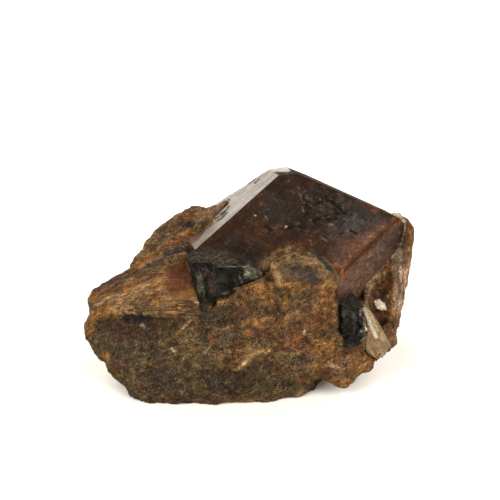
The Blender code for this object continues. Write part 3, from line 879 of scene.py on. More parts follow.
SCRATCHES = (
    ((296, 182), (299, 189)),
    ((300, 194), (302, 201)),
    ((300, 196), (306, 190)),
    ((287, 176), (289, 181)),
    ((302, 206), (303, 212)),
    ((318, 201), (321, 203)),
    ((274, 198), (277, 203), (282, 204)),
    ((320, 235), (326, 240), (333, 243.5)),
    ((322, 233), (328, 236.5), (334, 240.5)),
    ((321, 238), (327, 241.5)),
    ((265, 216), (268, 220)),
    ((310, 219), (313, 223.5)),
    ((339, 206), (342, 209)),
    ((330, 224), (334, 226)),
    ((296, 224), (300, 231)),
    ((310, 240), (312, 246)),
)
SILVER_CRACKS = (
    ((215, 219), (219, 217), (223, 213)),
    ((219, 220), (224, 216), (227, 213)),
    ((221, 214), (225, 211)),
    ((248, 184), (254, 180), (257, 176), (263, 173)),
    ((255, 183), (259, 179)),
    ((216, 221), (221, 219), (225, 212), (229, 206)),
    ((222, 209), (228, 203)),
)
# Strewn scratches: how many, about which place, half sizes, and the seed of their draw.
DARK_STREWN = ((70, (322, 210), (32, 18), 3), (24, (285, 226), (26, 10), 4))
PALE_STREWN = (40, (318, 212), (38, 24), 5)
SCRATCH_TURNS = (-32, 30, 62)
# Where the main face is broken: place, half sizes, lean and strength.
BROKEN_ZONES = (
    (326, 207, 24, 13, -15, 0.85),
    (310, 220, 16, 9, -20, 0.5),
    (290, 227, 18, 5, 0, 0.45),
    (300, 195, 8, 12, 10, 0.2),
    (352, 234, 8, 5, -20, 0.4),
    (268, 228, 12, 4, -10, 0.5),
    (328, 240, 10, 5, -30, 0.4),
    (277, 202, 9, 5, 0, 0.25),
)
# Which way the second face looks, and the way to the right along it.
SECOND_FACE = np.array((0.66, -0.75, -0.03))
SECOND_FACE_WAY = np.array((0.75, 0.66, 0.0))
# The second face is carried on to the right: by how much, and between which columns and rows.
WIDEN_BY = 1.3
WIDEN_COLUMNS = (384, 397)
WIDEN_TOP_ROWS = (216, 226)
WIDEN_FOOT_ROWS = (244, 264)
# A place on the second face, the rows where it turns redder, and its marks.
SECOND_FACE_SPOT = (362, 262)
SECOND_FACE_RED_ROWS = (255, 290)
SECOND_FACE_CLOUD = (389, 240, 13, 9, 45)
SECOND_FACE_VEILS = (
    ((376, 244), (381, 249), (389, 251)),
    ((378, 240), (386, 246)),
    ((362, 279), (371, 268), (380, 256)),
)
SECOND_FACE_GOLD = (((357, 260), (359, 265), (359, 270)), ((369, 251), (370, 256)))
# The painted highlight, a pale strip on the small top face, ends at these rows and columns.
APEX_ROWS = (171.0, 172.5)
APEX_COLUMNS = (288, 291)
APEX_MARKS = ((285, 172.5, 3, 1.5, 0, EDGE_GLOW, 0.9),)
# Outlines and lines on the large garnet.
SECOND_FACE_RIM = [
    (380, 234), (397, 217), (404.5, 225), (402.5, 237), (396, 250), (386, 262), (374, 275), (362, 288),
    (358, 275),
]
FACE_BORDER = ((397, 216), (404.5, 225), (402.5, 237), (396, 250), (386, 262), (374, 275), (362, 289))
MAIN_FACES = [(190, 246), (278, 169), (398, 213), (404, 240), (342, 288), (270, 270)]
HAZE = ((264, 266), (272, 257), (284, 251), (298, 247.5))
FRINGE = ((196, 250), (208, 250), (222, 252), (236, 257), (248, 263), (258, 269))
DOME_GAP = ((299, 252), (311, 254), (322, 259.5), (331, 270))
DARK_BAND = [(184, 247), (188, 240), (206, 217), (217, 211), (210, 226), (199, 239), (191, 246)]
# Which way the left and the top face look, and the left face's long edge, also as turns in degrees.
LEFT_FACE = np.array((-0.581, 0.124, 0.804))
TOP_FACE = np.array((-0.11, 0.25, 0.96))
LEFT_FACE_LENGTH = np.array((0.707, 0.571, 0.415))
LEFT_FACE_TURN = (0, -24.5, 38.9)


def strewn_lines(count, spot, size, seed):
    """Short straight scratches strewn over an oval in the picture."""
    chance = np.random.default_rng(seed)
    lines = []
    for _ in range(count):
        x, y = np.array(spot) + np.array(size) * chance.normal(size=2) * 0.6
        turn = math.radians(chance.choice(SCRATCH_TURNS) + 10 * chance.normal())
        half = chance.uniform(0.8, 3.5)
        across = half * math.cos(turn)
        down = -half * math.sin(turn)
        lines.append(((x - across, y - down), (x + across, y + down)))
    return lines


def scratch_share(points, lines, width):
    """1 on a set of thin broken lines in the picture."""
    share = np.zeros(len(points))
    for number, corners in enumerate(lines):
        gap = picture_gap(points, corners)
        near = gap < width + 0.5
        gap = gap[near] + 0.3 * soft_noise(points[near], 0.4, 500 + number)
        strength = smooth_step(-0.5, 0.1, soft_noise(points[near], 0.6, 560 + number))
        share[near] = np.maximum(share[near], strength * fall(0.4 * width, width, gap))
    return share


def widen_second_face(points):
    """Carries the second face on to the right, up to the crust."""
    x, y = in_picture(points)
    share = smooth_step(*WIDEN_COLUMNS, x) * smooth_step(*WIDEN_TOP_ROWS, y) * fall(*WIDEN_FOOT_ROWS, y)
    points += SECOND_FACE_WAY * (WIDEN_BY * share)[:, None]


def broken_share(points):
    """How broken the main face is at each point."""
    total = np.zeros(len(points))
    for number, (*oval, strength) in enumerate(BROKEN_ZONES):
        total = np.maximum(total, strength * patch_share(points, *oval, 0.5, 300 + 5 * number))
    return total


def silver_crack_share(points):
    """1 on the dark cracks of the silvery face."""
    gap = np.min([picture_gap(points, corners) for corners in SILVER_CRACKS], axis=0)
    return fall(0.4, 1.3, gap + 0.4 * soft_noise(points, 0.5, 170))


def carve_garnet(points, normals, rock_gap, broken, behind, marks):
    """Moves the garnet's points: slight waves, cracks, pits in the cracked zones, rock grains at its foot."""
    depth = 0.012 * layered_noise(points, 2.5, 11)
    dark, deep, _ = marks
    depth -= 0.18 * deep + 0.07 * dark
    _, step = grains(points, 3.4, 33)
    hollow = 0.3 * step + 0.3 * blotches(points, 2.4, 34, 0.0, 0.5)
    turned_away = fall(-0.35, -0.2, normals @ OUTWARD)
    depth -= behind * turned_away * hollow
    depth -= (0.015 + 0.12 * broken) * blotches(points, 0.8, 17, 0.15, 0.55)
    dusty = fall(0.2, 0.8, rock_gap + 0.4 * layered_noise(points, 0.9, 19))
    dusty *= 1 - outline_share(points, SECOND_FACE_RIM, 2.0, 1.0, 24, 9.0)
    dusty = np.maximum(dusty, behind * blotches(points, 2.0, 35, 0.22, 0.36) * turned_away)
    heart, _ = grains(points, 0.8, 18)
    depth += 0.16 * dusty * np.minimum(heart, 0.5)
    points += normals * depth[:, None]
    return dusty


def paint_edge(tint, points):
    """The glowing edge between the two front faces."""
    near = np.exp(-((line_gap(points, EDGE_SIDE) / 0.8) ** 2))
    paint(tint, 0.7 * near, EDGE_GLOW)
    paint_lines(tint, points, ((EDGE_LINE, 0.8, GARNET_RUST, 0.5), (EDGE_LINE, 0.32, EDGE_CORE, 1.0)))
    paint_lines(tint, points, ((EDGE_FOOT, 0.5, EDGE_ORANGE, 0.4),))
    paint_patches(tint, points, EDGE_SPOTS)


def paint_second_face(tint, points, second_face):
    """Grey plum, redder lower down, with pale veils and a golden scratch."""
    _, y = in_picture(points)
    paint(tint, second_face, GARNET_SECOND)
    paint(tint, second_face * smooth_step(*SECOND_FACE_RED_ROWS, y), GARNET_SECOND_LOW)
    grey = second_face * cloud_share(points, *SECOND_FACE_CLOUD, 431)
    paint(tint, 0.6 * grey, GREY_TONE_AND_SHEEN)
    paint(tint, 0.35 * second_face * scratch_share(points, SECOND_FACE_VEILS, 1.6), SCRATCH)
    paint(tint, 0.8 * second_face * scratch_share(points, SECOND_FACE_GOLD, 1.3), ORANGE)


def apex_highlight_share(points, normals):
    """1 on the painted highlight, a pale strip on the small top face."""
    x, y = in_picture(points)
    strip = smooth_step(0.95, 0.98, normals @ TOP_FACE) * fall(*APEX_ROWS, y)
    return strip * fall(*APEX_COLUMNS, x + 1.5 * layered_noise(points, 1.0, 29))


def paint_garnet(points, left_face, second_face, apex_highlight, behind, dusty, marks):
    tint = plain_tint(points, GARNET_BROWN)
    paint(tint, blotches(points, 3.0, 15, 0.0, 0.6), GARNET_RED)
    for number, (*oval, colour, strength) in enumerate(GARNET_CLOUDS):
        paint(tint, strength * cloud_share(points, *oval, 400 + 5 * number), colour)
    paint_patches(tint, points, GARNET_PATCHES)
    paint_second_face(tint, points, second_face)
    paint_edge(tint, points)
    dark, deep, pale = marks
    paint(tint, 0.8 * pale, SCRATCH)
    paint(tint, 0.95 * np.maximum(deep, 0.8 * dark), SHADOW)
    # The left face: a silvery grey that partly paints its reflection, in fine streaks along its length.
    flat = points - (points @ LEFT_FACE_LENGTH)[:, None] * LEFT_FACE_LENGTH * 0.92
    streaks = 1 + 0.45 * layered_noise(flat, 0.5, 23)
    silver = np.array(SILVER_TONE_AND_SHEEN) * streaks[:, None]
    tint += (silver - tint) * left_face[:, None]
    paint(tint, 0.95 * left_face * silver_crack_share(points), SHADOW)
    paint(tint, outline_share(points, DARK_BAND, 2.0, 1.5), GARNET_PLUM)
    # Painted highlight on the small top face.
    paint(tint, apex_highlight * (0.8 + 0.5 * layered_noise(points, 0.9, 28)), APEX_HIGHLIGHT)
    paint_patches(tint, points, APEX_MARKS)
    haze = np.exp(-((line_gap(points, HAZE) / 0.8) ** 2)) * blotches(points, 0.8, 20, -0.5, 0.3)
    paint(tint, 0.6 * haze * (1 - left_face), TAN)
    fringe = fall(0.5, 5.0, picture_gap(points, FRINGE) + 2.5 * layered_noise(points, 0.7, 27))
    paint(tint, 0.8 * fringe * (1 - left_face), CRYSTAL_DULL)
    paint(tint, 0.6 * behind * blotches(points, 1.6, 36, 0.0, 0.5), GARNET_RUST)
    paint(tint, 0.8 * dusty, BROWN)
    paint(tint, 0.5 * dusty * blotches(points, 0.4, 26, -0.2, 0.4), TAN)
    paint_lines(tint, points, ((DOME_GAP, 0.75, SHADOW, 0.9),))
    return tint


def garnet_marks(points, main_face, left_face):
    """Dark scratches, deep cracks and pale scratches."""
    dark_lines = [line for strewn in DARK_STREWN for line in strewn_lines(*strewn)]
    dark = main_face * scratch_share(points, dark_lines + list(FINE_CRACKS), 1.0)
    deep = main_face * scratch_share(points, CRACKS, 2.2)
    pale = 0.4 * scratch_share(points, strewn_lines(*PALE_STREWN), 0.7)
    pale = main_face * np.maximum(pale, 0.7 * scratch_share(points, SCRATCHES, 0.8))
    return dark, np.maximum(deep, left_face * silver_crack_share(points)), pale


def make_garnet():
    mesh = refined(fine_mesh(cad_mesh("garnet_crystal"), GARNET_CELL, True), MAIN_FACES, OUT)
    points, normals = read_points(mesh)
    _, rock_gap = gaps_to(points, tree_of(cad_mesh("matrix")), 1.5)
    left_face = smooth_step(0.93, 0.985, normals @ LEFT_FACE)
    second_face = smooth_step(0.9, 0.97, normals @ SECOND_FACE)
    behind = fall(0.1, 0.35, normals @ OUTWARD)
    main_face = (1 - behind) * (1 - left_face) * (1 - second_face)
    widen_second_face(points)
    broken = broken_share(points) * main_face
    marks = garnet_marks(points, main_face, left_face)
    apex_highlight = apex_highlight_share(points, normals)
    behind *= (1 - left_face) * (1 - apex_highlight)
    dusty = carve_garnet(points, normals, rock_gap, broken, behind, marks)
    band = outline_share(points, DARK_BAND, 2.0, 1.5)
    rough = 0.42 - 0.1 * left_face + 0.3 * band + 0.5 * dusty + 0.3 * broken + 0.5 * behind
    sheen = 0.72 * left_face * (1 - band) * (1 - silver_crack_share(points)) * (1 - dusty)
    traits = marks_of(points, rough, 0.6 * broken, np.maximum(sheen, 0.8 * apex_highlight))
    tint = paint_garnet(points, left_face, second_face, apex_highlight, behind, dusty, marks)
    material = garnet_material("garnet")
    colours = {"tint": tint, "traits": traits}
    finish_piece("garnet_crystal_surface", mesh, points, 28, material, "garnet_crystal", **colours)


# ---------------------------------------------------------------- the rock

COOL_GRAINS = (DARK_BROWN, GREY_GREEN, OLIVE, PURPLE, BROWN, GREY_GREEN, DARK_BROWN)
WARM_GRAINS = (ORANGE, BROWN, TAN, RUST, BROWN, OLIVE, BROWN, PURPLE, OLIVE)
# Where the grains are cool in colour: place, half sizes and lean in the picture.
COOL_PATCHES = (
    (150, 365, 80, 44, -15),
    (230, 385, 100, 22, 0),
    (165, 232, 26, 10, 30),
)
# Patches: place, half sizes and lean in the picture, then colour and strength.
ROCK_PATCHES = (
    (236, 324, 38, 24, 0, DARK_BROWN, 0.42),
    (222, 314, 16, 10, 0, DARK_BROWN, 0.4),
    (215, 380, 56, 14, 0, DARK_BROWN, 0.42),
    (272, 340, 26, 10, 0, RUST, 0.35),
    (128, 331, 36, 13, 0, PURPLE, 0.6),
    (180, 335, 24, 12, 0, OLIVE, 0.6),
    (140, 350, 26, 12, -10, GREY_GREEN, 0.6),
    (225, 382, 34, 12, 0, DARK_BROWN, 0.6),
    (155, 374, 18, 6, 0, BLUE_BLACK, 0.5),
    (218, 382, 13, 9, 20, BLUE_BLACK, 0.55),
    (225, 338, 18, 14, 0, GREY_GREEN, 0.6),
    (262, 341, 10, 5, 0, GREY_GREEN, 0.7),
    (252, 368, 12, 7, 0, GREY_GREEN, 0.8),
    (120, 362, 6, 6, 0, PURPLE, 0.8),
    (106, 357, 5, 5, -40, ORANGE, 0.6),
    (117, 373, 9, 4, -50, BROWN, 0.7),
    (174, 343, 5, 4, 0, SHADOW, 0.6),
    (170, 327, 9, 5, 0, DARK_BROWN, 0.6),
    (147, 326, 3, 6, 0, GREY_GREEN, 0.8),
    (197, 386, 9, 5, 0, OLIVE, 0.7),
    (205, 322, 7, 12, 0, DARK_BROWN, 0.7),
    (222, 300, 7, 5, 0, ORANGE, 0.4),
    (240, 311, 10, 5, 0, PURPLE, 0.5),
    (222, 322, 4, 3, 0, SHADOW, 0.8),
    (239, 321, 6, 2.5, 0, BLUE_BLACK, 0.65),
    (212, 339, 4, 6, 0, RUST, 0.7),
    (258, 323, 14, 5, 0, TAN, 0.35),
    (268, 322, 24, 5, 5, ORANGE, 0.5),
    (280, 324, 16, 5, 0, BROWN, 0.5),
    (248, 334, 6, 4, 30, ORANGE, 0.4),
    (255, 332, 4, 3, 20, PURPLE_SPOT, 0.9),
    (266, 331, 6, 2, 0, PURPLE_SPOT, 0.7),
    (262, 311, 9, 8, 0, PURPLE, 0.7),
    (275, 311, 4, 8, 0, DARK_BROWN, 0.6),
    (283, 336, 4, 3, 0, PURPLE_SPOT, 0.9),
    (284, 349, 5, 3, 20, PURPLE_SPOT, 0.9),
    (299, 330, 8, 6, 0, RUST, 0.8),
    (298, 344, 6, 8, 0, RUST, 0.9),
    (306, 340, 4, 4, 0, DARK_BROWN, 0.8),
    (304, 358, 10, 5, 0, BLUE_BLACK, 0.6),
    (311, 358, 6, 4, 0, CRUST_PINK, 0.4),
    (322, 347, 12, 8, 0, ORANGE, 0.7),
    (247, 360, 8, 5, 50, TAN, 0.45),
    (240, 355, 6, 5, 50, RUST, 0.5),
    (262, 355, 14, 4, 10, BROWN, 0.7),
    # Painted shade on the left of the curved ridge.
    (228, 361, 6, 6, 0, DARK_BROWN, 0.8),
    (262, 366, 7, 5, 0, PURPLE, 0.5),
    (292, 376, 5, 6, 0, OLIVE, 0.8),
    (304, 380, 9, 8, 0, RUST, 0.5),
    (303, 320, 16, 6, 0, BROWN, 0.5),
    (345, 365, 40, 12, 10, ORANGE, 0.45),
    (336, 356, 14, 6, 0, RUST, 0.6),
    (350, 352, 22, 3, 15, DARK_BROWN, 0.5),
    (358, 352, 10, 3, 0, RUST, 0.6),
    (330, 372, 14, 5, 0, PURPLE, 0.6),
    (338, 383, 12, 6, 0, ORANGE, 0.8),
    (366, 366, 7, 5, 0, TAN, 0.6),
    (340, 366, 15, 10, 0, CRUST_PINK, 0.25),
    (98, 340, 6, 22, -15, OLIVE, 0.6),
    (92, 322, 5, 12, -10, ORANGE, 0.7),
    (90, 334, 3, 7, 0, RUST, 0.7),
    (106, 311, 14, 6, 30, ORANGE, 0.9),
    (113, 309, 6, 4, 0, TAN, 0.7),
    (92, 296, 5, 7, 0, ORANGE, 0.8),
    (140, 292, 40, 12, 22, TAN, 0.55),
    (120, 291, 26, 5, 27, ORANGE, 0.6),
    (136, 283, 18, 3, 27, RUST, 0.6),
    (148, 296, 14, 4, 5, RUST, 0.4),
    (162, 278, 9, 13, 0, ORANGE, 0.6),
    (155, 285, 8, 10, 0, ORANGE, 0.4),
    (118, 280, 26, 3, 30, RUST, 0.7),
    (112, 283, 6, 2, 30, PURPLE, 0.8),
    (126, 275, 5, 2, 30, PURPLE, 0.8),
    (150, 266, 20, 2.5, 27, DARK_BROWN, 0.7),
    (120, 291, 5, 2, 25, PURPLE, 0.8),
    (128, 300, 7, 3, 0, BROWN, 0.7),
    (176, 260, 9, 3, 0, OLIVE, 0.7),
    (178, 304, 26, 9, 0, BROWN, 0.1),
    (140, 308, 24, 6, 0, OLIVE, 0.4),
    (152, 256, 28, 5, 35, ORANGE, 0.7),
    (162, 236, 26, 12, 30, ORANGE, 0.35),
    (137, 264, 6, 3, 35, ORANGE, 0.8),
    (170, 245, 18, 4, 30, RUST, 0.7),
    (165, 230, 24, 8, 30, OLIVE, 0.6),
    (189, 224, 11, 4, -5, BLUE_BLACK, 0.9),
    (178, 228, 8, 3, -30, PURPLE, 0.8),
    (162, 230, 4, 3, 0, BLUE_BLACK, 0.6),
    (160, 242, 14, 5, 30, GREY_GREEN, 0.7),
    (153, 247, 5, 5, 0, SHADOW, 0.7),
    (188, 233, 11, 4, 10, ORANGE, 0.7),
    (190, 215, 14, 5, 0, RUST, 0.7),
    (215, 209, 22, 7, 25, CRUST_PINK, 0.4),
    (206, 216, 14, 3, 35, CRUST_PINK, 0.4),
    (176, 252, 14, 4, 14, BLUE_BLACK, 0.9),
    (181, 248, 8, 3, 20, GREY_BROWN, 0.6),
    (206, 309, 10, 14, 10, CRYSTAL_DULL, 0.8),
    (206, 304, 7, 9, 10, CRYSTAL_BLACK, 0.6),
    (210, 322, 8, 7, 0, DARK_BROWN, 0.6),
    (222, 301, 5, 4, 0, TAN, 0.7),
    (240, 295, 12, 4, 25, BROWN, 0.7),
    (262, 276, 10, 4, -15, DARK_BROWN, 0.9),
    (271, 279, 5, 3, -10, SHADOW, 0.7),
    (265, 264, 7, 5, 30, RUST, 0.7),
    (264, 290, 8, 5, 0, ORANGE, 0.5),
    (377, 276, 10, 12, 0, TAN, 0.9),
    (374, 277, 9, 14, -20, PALE_TAN, 0.62),
    (379, 270, 5, 6, 0, ORANGE, 0.4),
    (370, 288, 6, 9, 20, CRUST_TAN, 0.7),
    (369, 302, 4, 4, 0, RUST, 0.9),
    (383, 291, 3.5, 7, 0, BLUE_BLACK, 0.6),
    (374, 296, 4, 3, 0, PURPLE, 0.5),
    (388, 314, 5, 6, 0, ORANGE, 0.6),
    (376, 316, 7, 4, 0, RUST, 0.8),
    (402, 278, 9, 50, 4, CRUST_TAN, 0.8),
    (392, 252, 6, 7, -45, BROWN, 0.6),
    (402, 300, 6, 26, 5, CRUST_PINK, 0.5),
    (410, 232, 4, 12, 0, ORANGE, 0.55),
    (407, 232, 2.5, 8, 0, CRUST_PINK, 0.6),
    (411, 225, 3, 4, 0, RUST, 0.8),
    (408, 237, 2, 4, 0, PURPLE_SPOT, 0.7),
    (406, 247, 3, 5, 0, CRUST_TAN, 0.6),
    (403, 241, 2, 4, 0, RUST, 0.8),
    (405, 262, 2.5, 6, 0, PURPLE, 0.8),
    (407, 276, 3, 7, 0, RUST, 0.6),
    (402, 265, 2, 4, 0, PURPLE, 0.9),
    (399, 286, 1.8, 7, 0, BROWN, 0.8),
    (404, 296, 2, 8, 5, BROWN, 0.7),
    (393, 335, 7, 7, 0, EDGE_GLOW, 0.8),
    (388, 328, 5, 4, 0, RUST, 0.5),
    (386, 322, 8, 2.0, 0, SHADOW, 0.9),
)
# Blotches on the far side: noise seed, size in mm, threshold, colour and strength.
FAR_PATCHES = (
    (71, 6.0, 0.06, GREY_GREEN, 0.55),
    (72, 4.5, 0.12, ORANGE, 0.5),
    (73, 3.5, 0.18, PURPLE, 0.55),
    (74, 3.0, 0.24, TAN, 0.45),
    (75, 2.5, 0.26, BLUE_BLACK, 0.5),
)
BLOCK_PATCHES = (
    (305, 305, 32, 26, 0, RUST, 0.3),
    (307, 305, 28, 24, 0, BROWN, 0.22),
    (293, 296, 14, 11, -15, OLIVE, 0.6),
    (296, 288, 16, 3, 0, RUST, 0.6),
    (308, 300, 8, 8, -30, DARK_BROWN, 0.5),
    (327, 300, 9, 20, 4, ORANGE, 0.45),
    (327, 296, 6, 10, 0, RUST, 0.4),
    (328, 284.5, 9, 2, 0, TAN, 0.7),
    (294, 317, 12, 6, 0, TAN, 0.35),
    # Painted shadow down the small garnet's left side, in grey-green and dark brown.
    (278, 297, 3.5, 12, 4, GREY_GREEN, 0.8),
    (279, 311, 4, 8, -10, DARK_BROWN, 0.7),
    (285, 303, 3, 6, 0, ORANGE, 0.5),
    (318, 318, 9, 6, 30, RUST, 0.6),
    (315, 306, 4, 10, 0, TAN, 0.3),
)
# Lines: corners in the picture, half width in mm, colour and strength.
ROCK_LINES = (
    (((395, 214), (401, 216.5), (404, 221)), 0.35, WHITE, 0.8),
    (((192, 246), (222, 250), (248, 261), (264, 268)), 0.8, CRYSTAL_DULL, 0.9),
    (((235, 370), (241, 368), (246, 361), (251, 355), (259, 352), (268, 351)), 0.42, TAN, 0.95),
    # Painted highlight on the curved ridge's lower edge.
    (((238, 369.5), (243, 366), (247, 360)), 0.25, PALE_TAN, 0.35),
    (((232, 364), (230, 372), (236, 373), (243, 370)), 0.4, SHADOW, 0.5),
    # Painted shade on the left of the curved ridge.
    (((232, 352), (234, 360), (236, 368)), 0.3, DARK_BROWN, 0.6),
    (((306, 350), (296, 355), (284, 353)), 0.3, TAN, 0.5),
    (((208, 326), (222, 330), (232, 326)), 0.25, TAN, 0.5),
    (((262, 320), (275, 316), (288, 318)), 0.3, TAN, 0.6),
    (((97, 305), (108, 298), (122, 294)), 0.3, PALE_TAN, 0.3),
    (((160, 297), (180, 297.5), (196, 300)), 0.4, TAN, 0.7),
    (((195, 300.5), (199, 303)), 0.3, PALE_TAN, 0.8),
    (((125, 311), (140, 314.5), (156, 313)), 0.22, TAN, 0.6),
    (((160, 304), (196, 306)), 0.16, BROWN, 0.8),
    (((160, 308), (196, 309.5)), 0.16, BROWN, 0.8),
    (((160, 312), (194, 313)), 0.16, BROWN, 0.8),
    (((122, 303), (156, 305)), 0.16, BROWN, 0.7),
    (((124, 307.5), (156, 309)), 0.16, BROWN, 0.7),
    (((102, 285), (118, 277), (133, 269)), 0.25, DARK_BROWN, 0.7),
    (((105, 292), (125, 281), (150, 270)), 0.25, DARK_BROWN, 0.5),
    (((180, 331), (184, 327), (190, 321)), 0.25, TAN, 0.7),
    (((183, 327.5), (185, 325.5)), 0.3, PALE_TAN, 0.7),
    (((304, 331), (305, 333)), 0.22, WHITE, 0.8),
    (((171, 349), (174, 351)), 0.2, PALE_TAN, 0.7),
    (((142, 325), (144, 327)), 0.3, PALE_TAN, 0.7),
    (((328, 363), (333, 367), (340, 367)), 0.25, PALE_TAN, 0.5),
    (((160, 299), (159, 317)), 0.3, DARK_BROWN, 0.5),
    # Painted shadow under the ledge's lip, in blue-black.
    (((127, 317.5), (148, 317.5)), 0.9, BLUE_BLACK, 0.95),
    (((129, 321), (146, 321)), 0.7, BLUE_BLACK, 0.7),
    (((337, 290), (337.5, 322)), 0.4, SHADOW, 0.8),
)
LEDGE_LEFT = [(112, 304), (136, 290), (160, 287), (160, 317), (118, 317)]
RED_FACET = [(163, 266), (187, 258), (199, 301), (160, 297)]
LEDGE_BAND = [(118, 306), (160, 297), (199, 301), (200, 316), (160, 317), (118, 317)]
UNDER_LEDGE = [(92, 320), (122, 317), (150, 317), (186, 319), (190, 335), (150, 340), (92, 338)]
FIBRE_SLOPE = [
    (86, 296), (130, 268), (158, 257), (190, 252), (186, 259), (162, 266), (160, 297), (118, 306), (96, 312)
]
CRUST = [
    (392, 260), (404, 224), (412, 224), (414, 250), (409, 290), (404, 325), (398, 346), (387, 343), (389, 300)
]
FIBRE_TURN = -24.3
SECOND_FACE_FOOT = [(338.5, 284), (366, 282), (362, 303), (340, 304)]
BLACK_RIM = [
    (340, 304), (348, 293), (358, 293), (366, 304), (371, 325), (367, 338), (360, 347), (347, 346), (340, 330)
]
DIOPSIDE_RIM = [
    (183, 254), (190, 246.5), (197, 241.5), (225, 246), (247, 254), (268, 269), (252, 279), (243, 289),
    (230, 298), (204, 299),
]
BLOCK_RIMS = (
    [(266, 282), (280, 282), (282, 338), (266, 338)],
    [(266, 321), (328, 323), (328, 340), (266, 340)],
)
DIOPSIDE_SIDE = [(187, 256), (194, 250), (203, 270), (208, 304), (200, 305), (191, 275)]
DIOPSIDE_LEG = [(196, 286), (217, 292), (216, 303), (209, 312), (201, 311)]
STRIP_RIM = ((188, 242), (198, 229), (207, 219), (215, 212), (222, 206), (229, 200), (233, 197))
STRIP_LIFT = 0.5
STRIP_LOWER = np.array((-2.2, 0.6, -1.7))
STRIP_BEHIND = np.array((-0.8, 2.2, -2.6))
# Rock that fills gaps beside the crystals. Each corner: place in the picture, lift off the surface in mm.
GAP_FILLS = (
    (
        (277, 288, 0.15), (277, 326, 0.15), (256, 294, -0.2), (256, 334, -0.2),
        (277, 288, -2.5), (277, 326, -2.5),
    ),
    (
        (277, 326, 0.15), (333, 327, 0.1), (272, 348, -0.2), (336, 346, -0.2),
        (277, 326, -2.5), (333, 327, -2.5),
    ),
    (
        (198, 291, 0.0), (216, 300, 0.1), (213, 314, 0.1), (199, 315, 0.1),
        (198, 291, -3.0), (216, 300, -3.0),
    ),
)
# Under the ledge the rock draws back above the first of these rows, and less and less down to the second.
UNDER_ROWS = (321, 336)
CURVED_RIDGE = ((236, 368), (243, 364), (250, 356), (268, 350))
CRUST_GROOVE = ((391, 262), (389.5, 300))
# Hollows: place, half sizes, lean and depth in mm.
HOLLOWS = ((229, 366, 6, 9, 30, 0.5), (252, 368, 13, 6, 15, 0.6), (377, 284, 9, 18, 0, 0.3))
# The crust slopes up from the second face between these columns and above these rows.
CRUST_LEFT_COLUMNS = (358, 366)
CRUST_RIGHT_COLUMNS = (402, 410)
CRUST_FOOT_ROWS = (285, 300)
# The flat facet is red right of these columns and orange below these rows, and has one rusty spot.
FACET_RED_COLUMNS = (160, 171)
FACET_LOW_ROWS = (287, 297)
FACET_MIDDLE = 180
FACET_RUST_SPOT = (176, 283, 9, 6, -20)
SMALL_PIECES = ("small_garnet", "diopside_crystal", "black_crystal", "pale_vein", "white_grain")
# Lines beside the second face: corners and half width in the picture, then colour and strength.
CRUST_LINES = (
    (((402, 221), (404, 228), (401, 239), (396, 251), (391, 258)), 1.8, DARK_BROWN, 0.35),
    (((391, 259), (390, 268), (391.5, 285), (390.5, 300), (390, 318)), 2.2, RUST, 0.9),
    (((388, 261), (388.5, 270)), 1.8, EDGE_ORANGE, 0.9),
    (((394, 258), (394.5, 275), (396, 300), (395, 318)), 1.1, TAN, 0.6),
    (((399, 250), (401, 262), (400, 280)), 1.3, PALE_TAN, 0.4),
    (((404, 246), (404, 262), (403, 280)), 1.1, CRUST_PINK, 0.8),
    (((397, 262), (398, 280)), 1.0, GREY_BROWN, 0.7),
    (((407, 222), (406.5, 232), (405, 242)), 1.3, RUST, 0.8),
    (((386, 262), (379, 269), (370, 279), (364, 289)), 1.6, VEIN_TAN, 0.8),
    (((403.5, 220.5), (405, 228), (402.5, 237), (397.5, 249), (392, 257)), 1.0, WHITE, 0.9),
)


def paint_crust_lines(tint, points, front):
    for number, (corners, width, colour, strength) in enumerate(CRUST_LINES):
        gap = picture_gap(points, corners)
        near = gap < 3 * width
        gap[near] += 0.5 * width * layered_noise(points[near], 0.7, 600 + number, 3)
        paint(tint, strength * front * fall(0.5 * width, width, gap), colour)


def along_fibres(points, turn):
    """The same points squeezed along a direction in the picture, so that noise turns into fibres."""
    direction = np.array((math.cos(math.radians(turn)), 0, -math.sin(math.radians(turn))))
    return points - (points @ direction)[:, None] * direction * 0.9


def rock_fills():
    """Rock that closes up round the small garnet and up to the large garnet's left face."""
    fills = [[seen(*corner) for corner in fill] for fill in GAP_FILLS]
    rim = [seen(*corner, STRIP_LIFT) for corner in STRIP_RIM]
    lower = [place + STRIP_LOWER for place in rim]
    behind = [place + STRIP_BEHIND for place in rim[:4]]
    return [hull_mesh(corners) for corners in fills + [rim + lower + behind]]


def open_over(points, node, rock_gap, cover):
    """Sinks the rock's skin under the face of a small crystal, away from the rock's own rim."""
    tree = tree_of(cad_mesh(node))
    start = 0.08 + cover + 0.3 * layered_noise(points, 1.0, 57) + 1.1 * cover * soft_noise(points, 2.2, 58)
    away = smooth_step(0.0, 0.5, rock_gap - start)
    for i in np.flatnonzero(away > 0):
        place, normal, _, _ = tree.find_nearest(Vector(points[i]), SKIN_REACH)
        if place is not None:
            height = (Vector(points[i]) - place).dot(normal)
            points[i] -= np.array(normal) * ((height + SKIN_SINK) * away[i])


def sink_behind(points, node, corners, sink):
    """Pushes the rock's skin straight back behind a crystal's face, inside an outline in the picture."""
    tree = tree_of(cad_mesh(node))
    share = outline_share(points, corners, 2.0, 1.2, 75, CRYSTAL_DEPTH)
    for i in np.flatnonzero(share > 0.02):
        reach = Vector(points[i]) - EYE
        place, _, _, far = tree.ray_cast(EYE, reach.normalized())
        if place is not None and far + sink > reach.length:
            points[i] += np.array(reach.normalized()) * ((far + sink - reach.length) * share[i])


def sink_to_plane(points, place, facing, corners, sink):
    """Pushes the skin back along the camera's rays behind a flat face, inside an outline in the picture."""
    direction, length, far = rays_to_plane(points, place, facing)
    share = outline_share(points, corners, 1.0, 0.4, 75, 9.0)
    points += direction * (np.maximum(far + sink - length, 0) * share)[:, None]


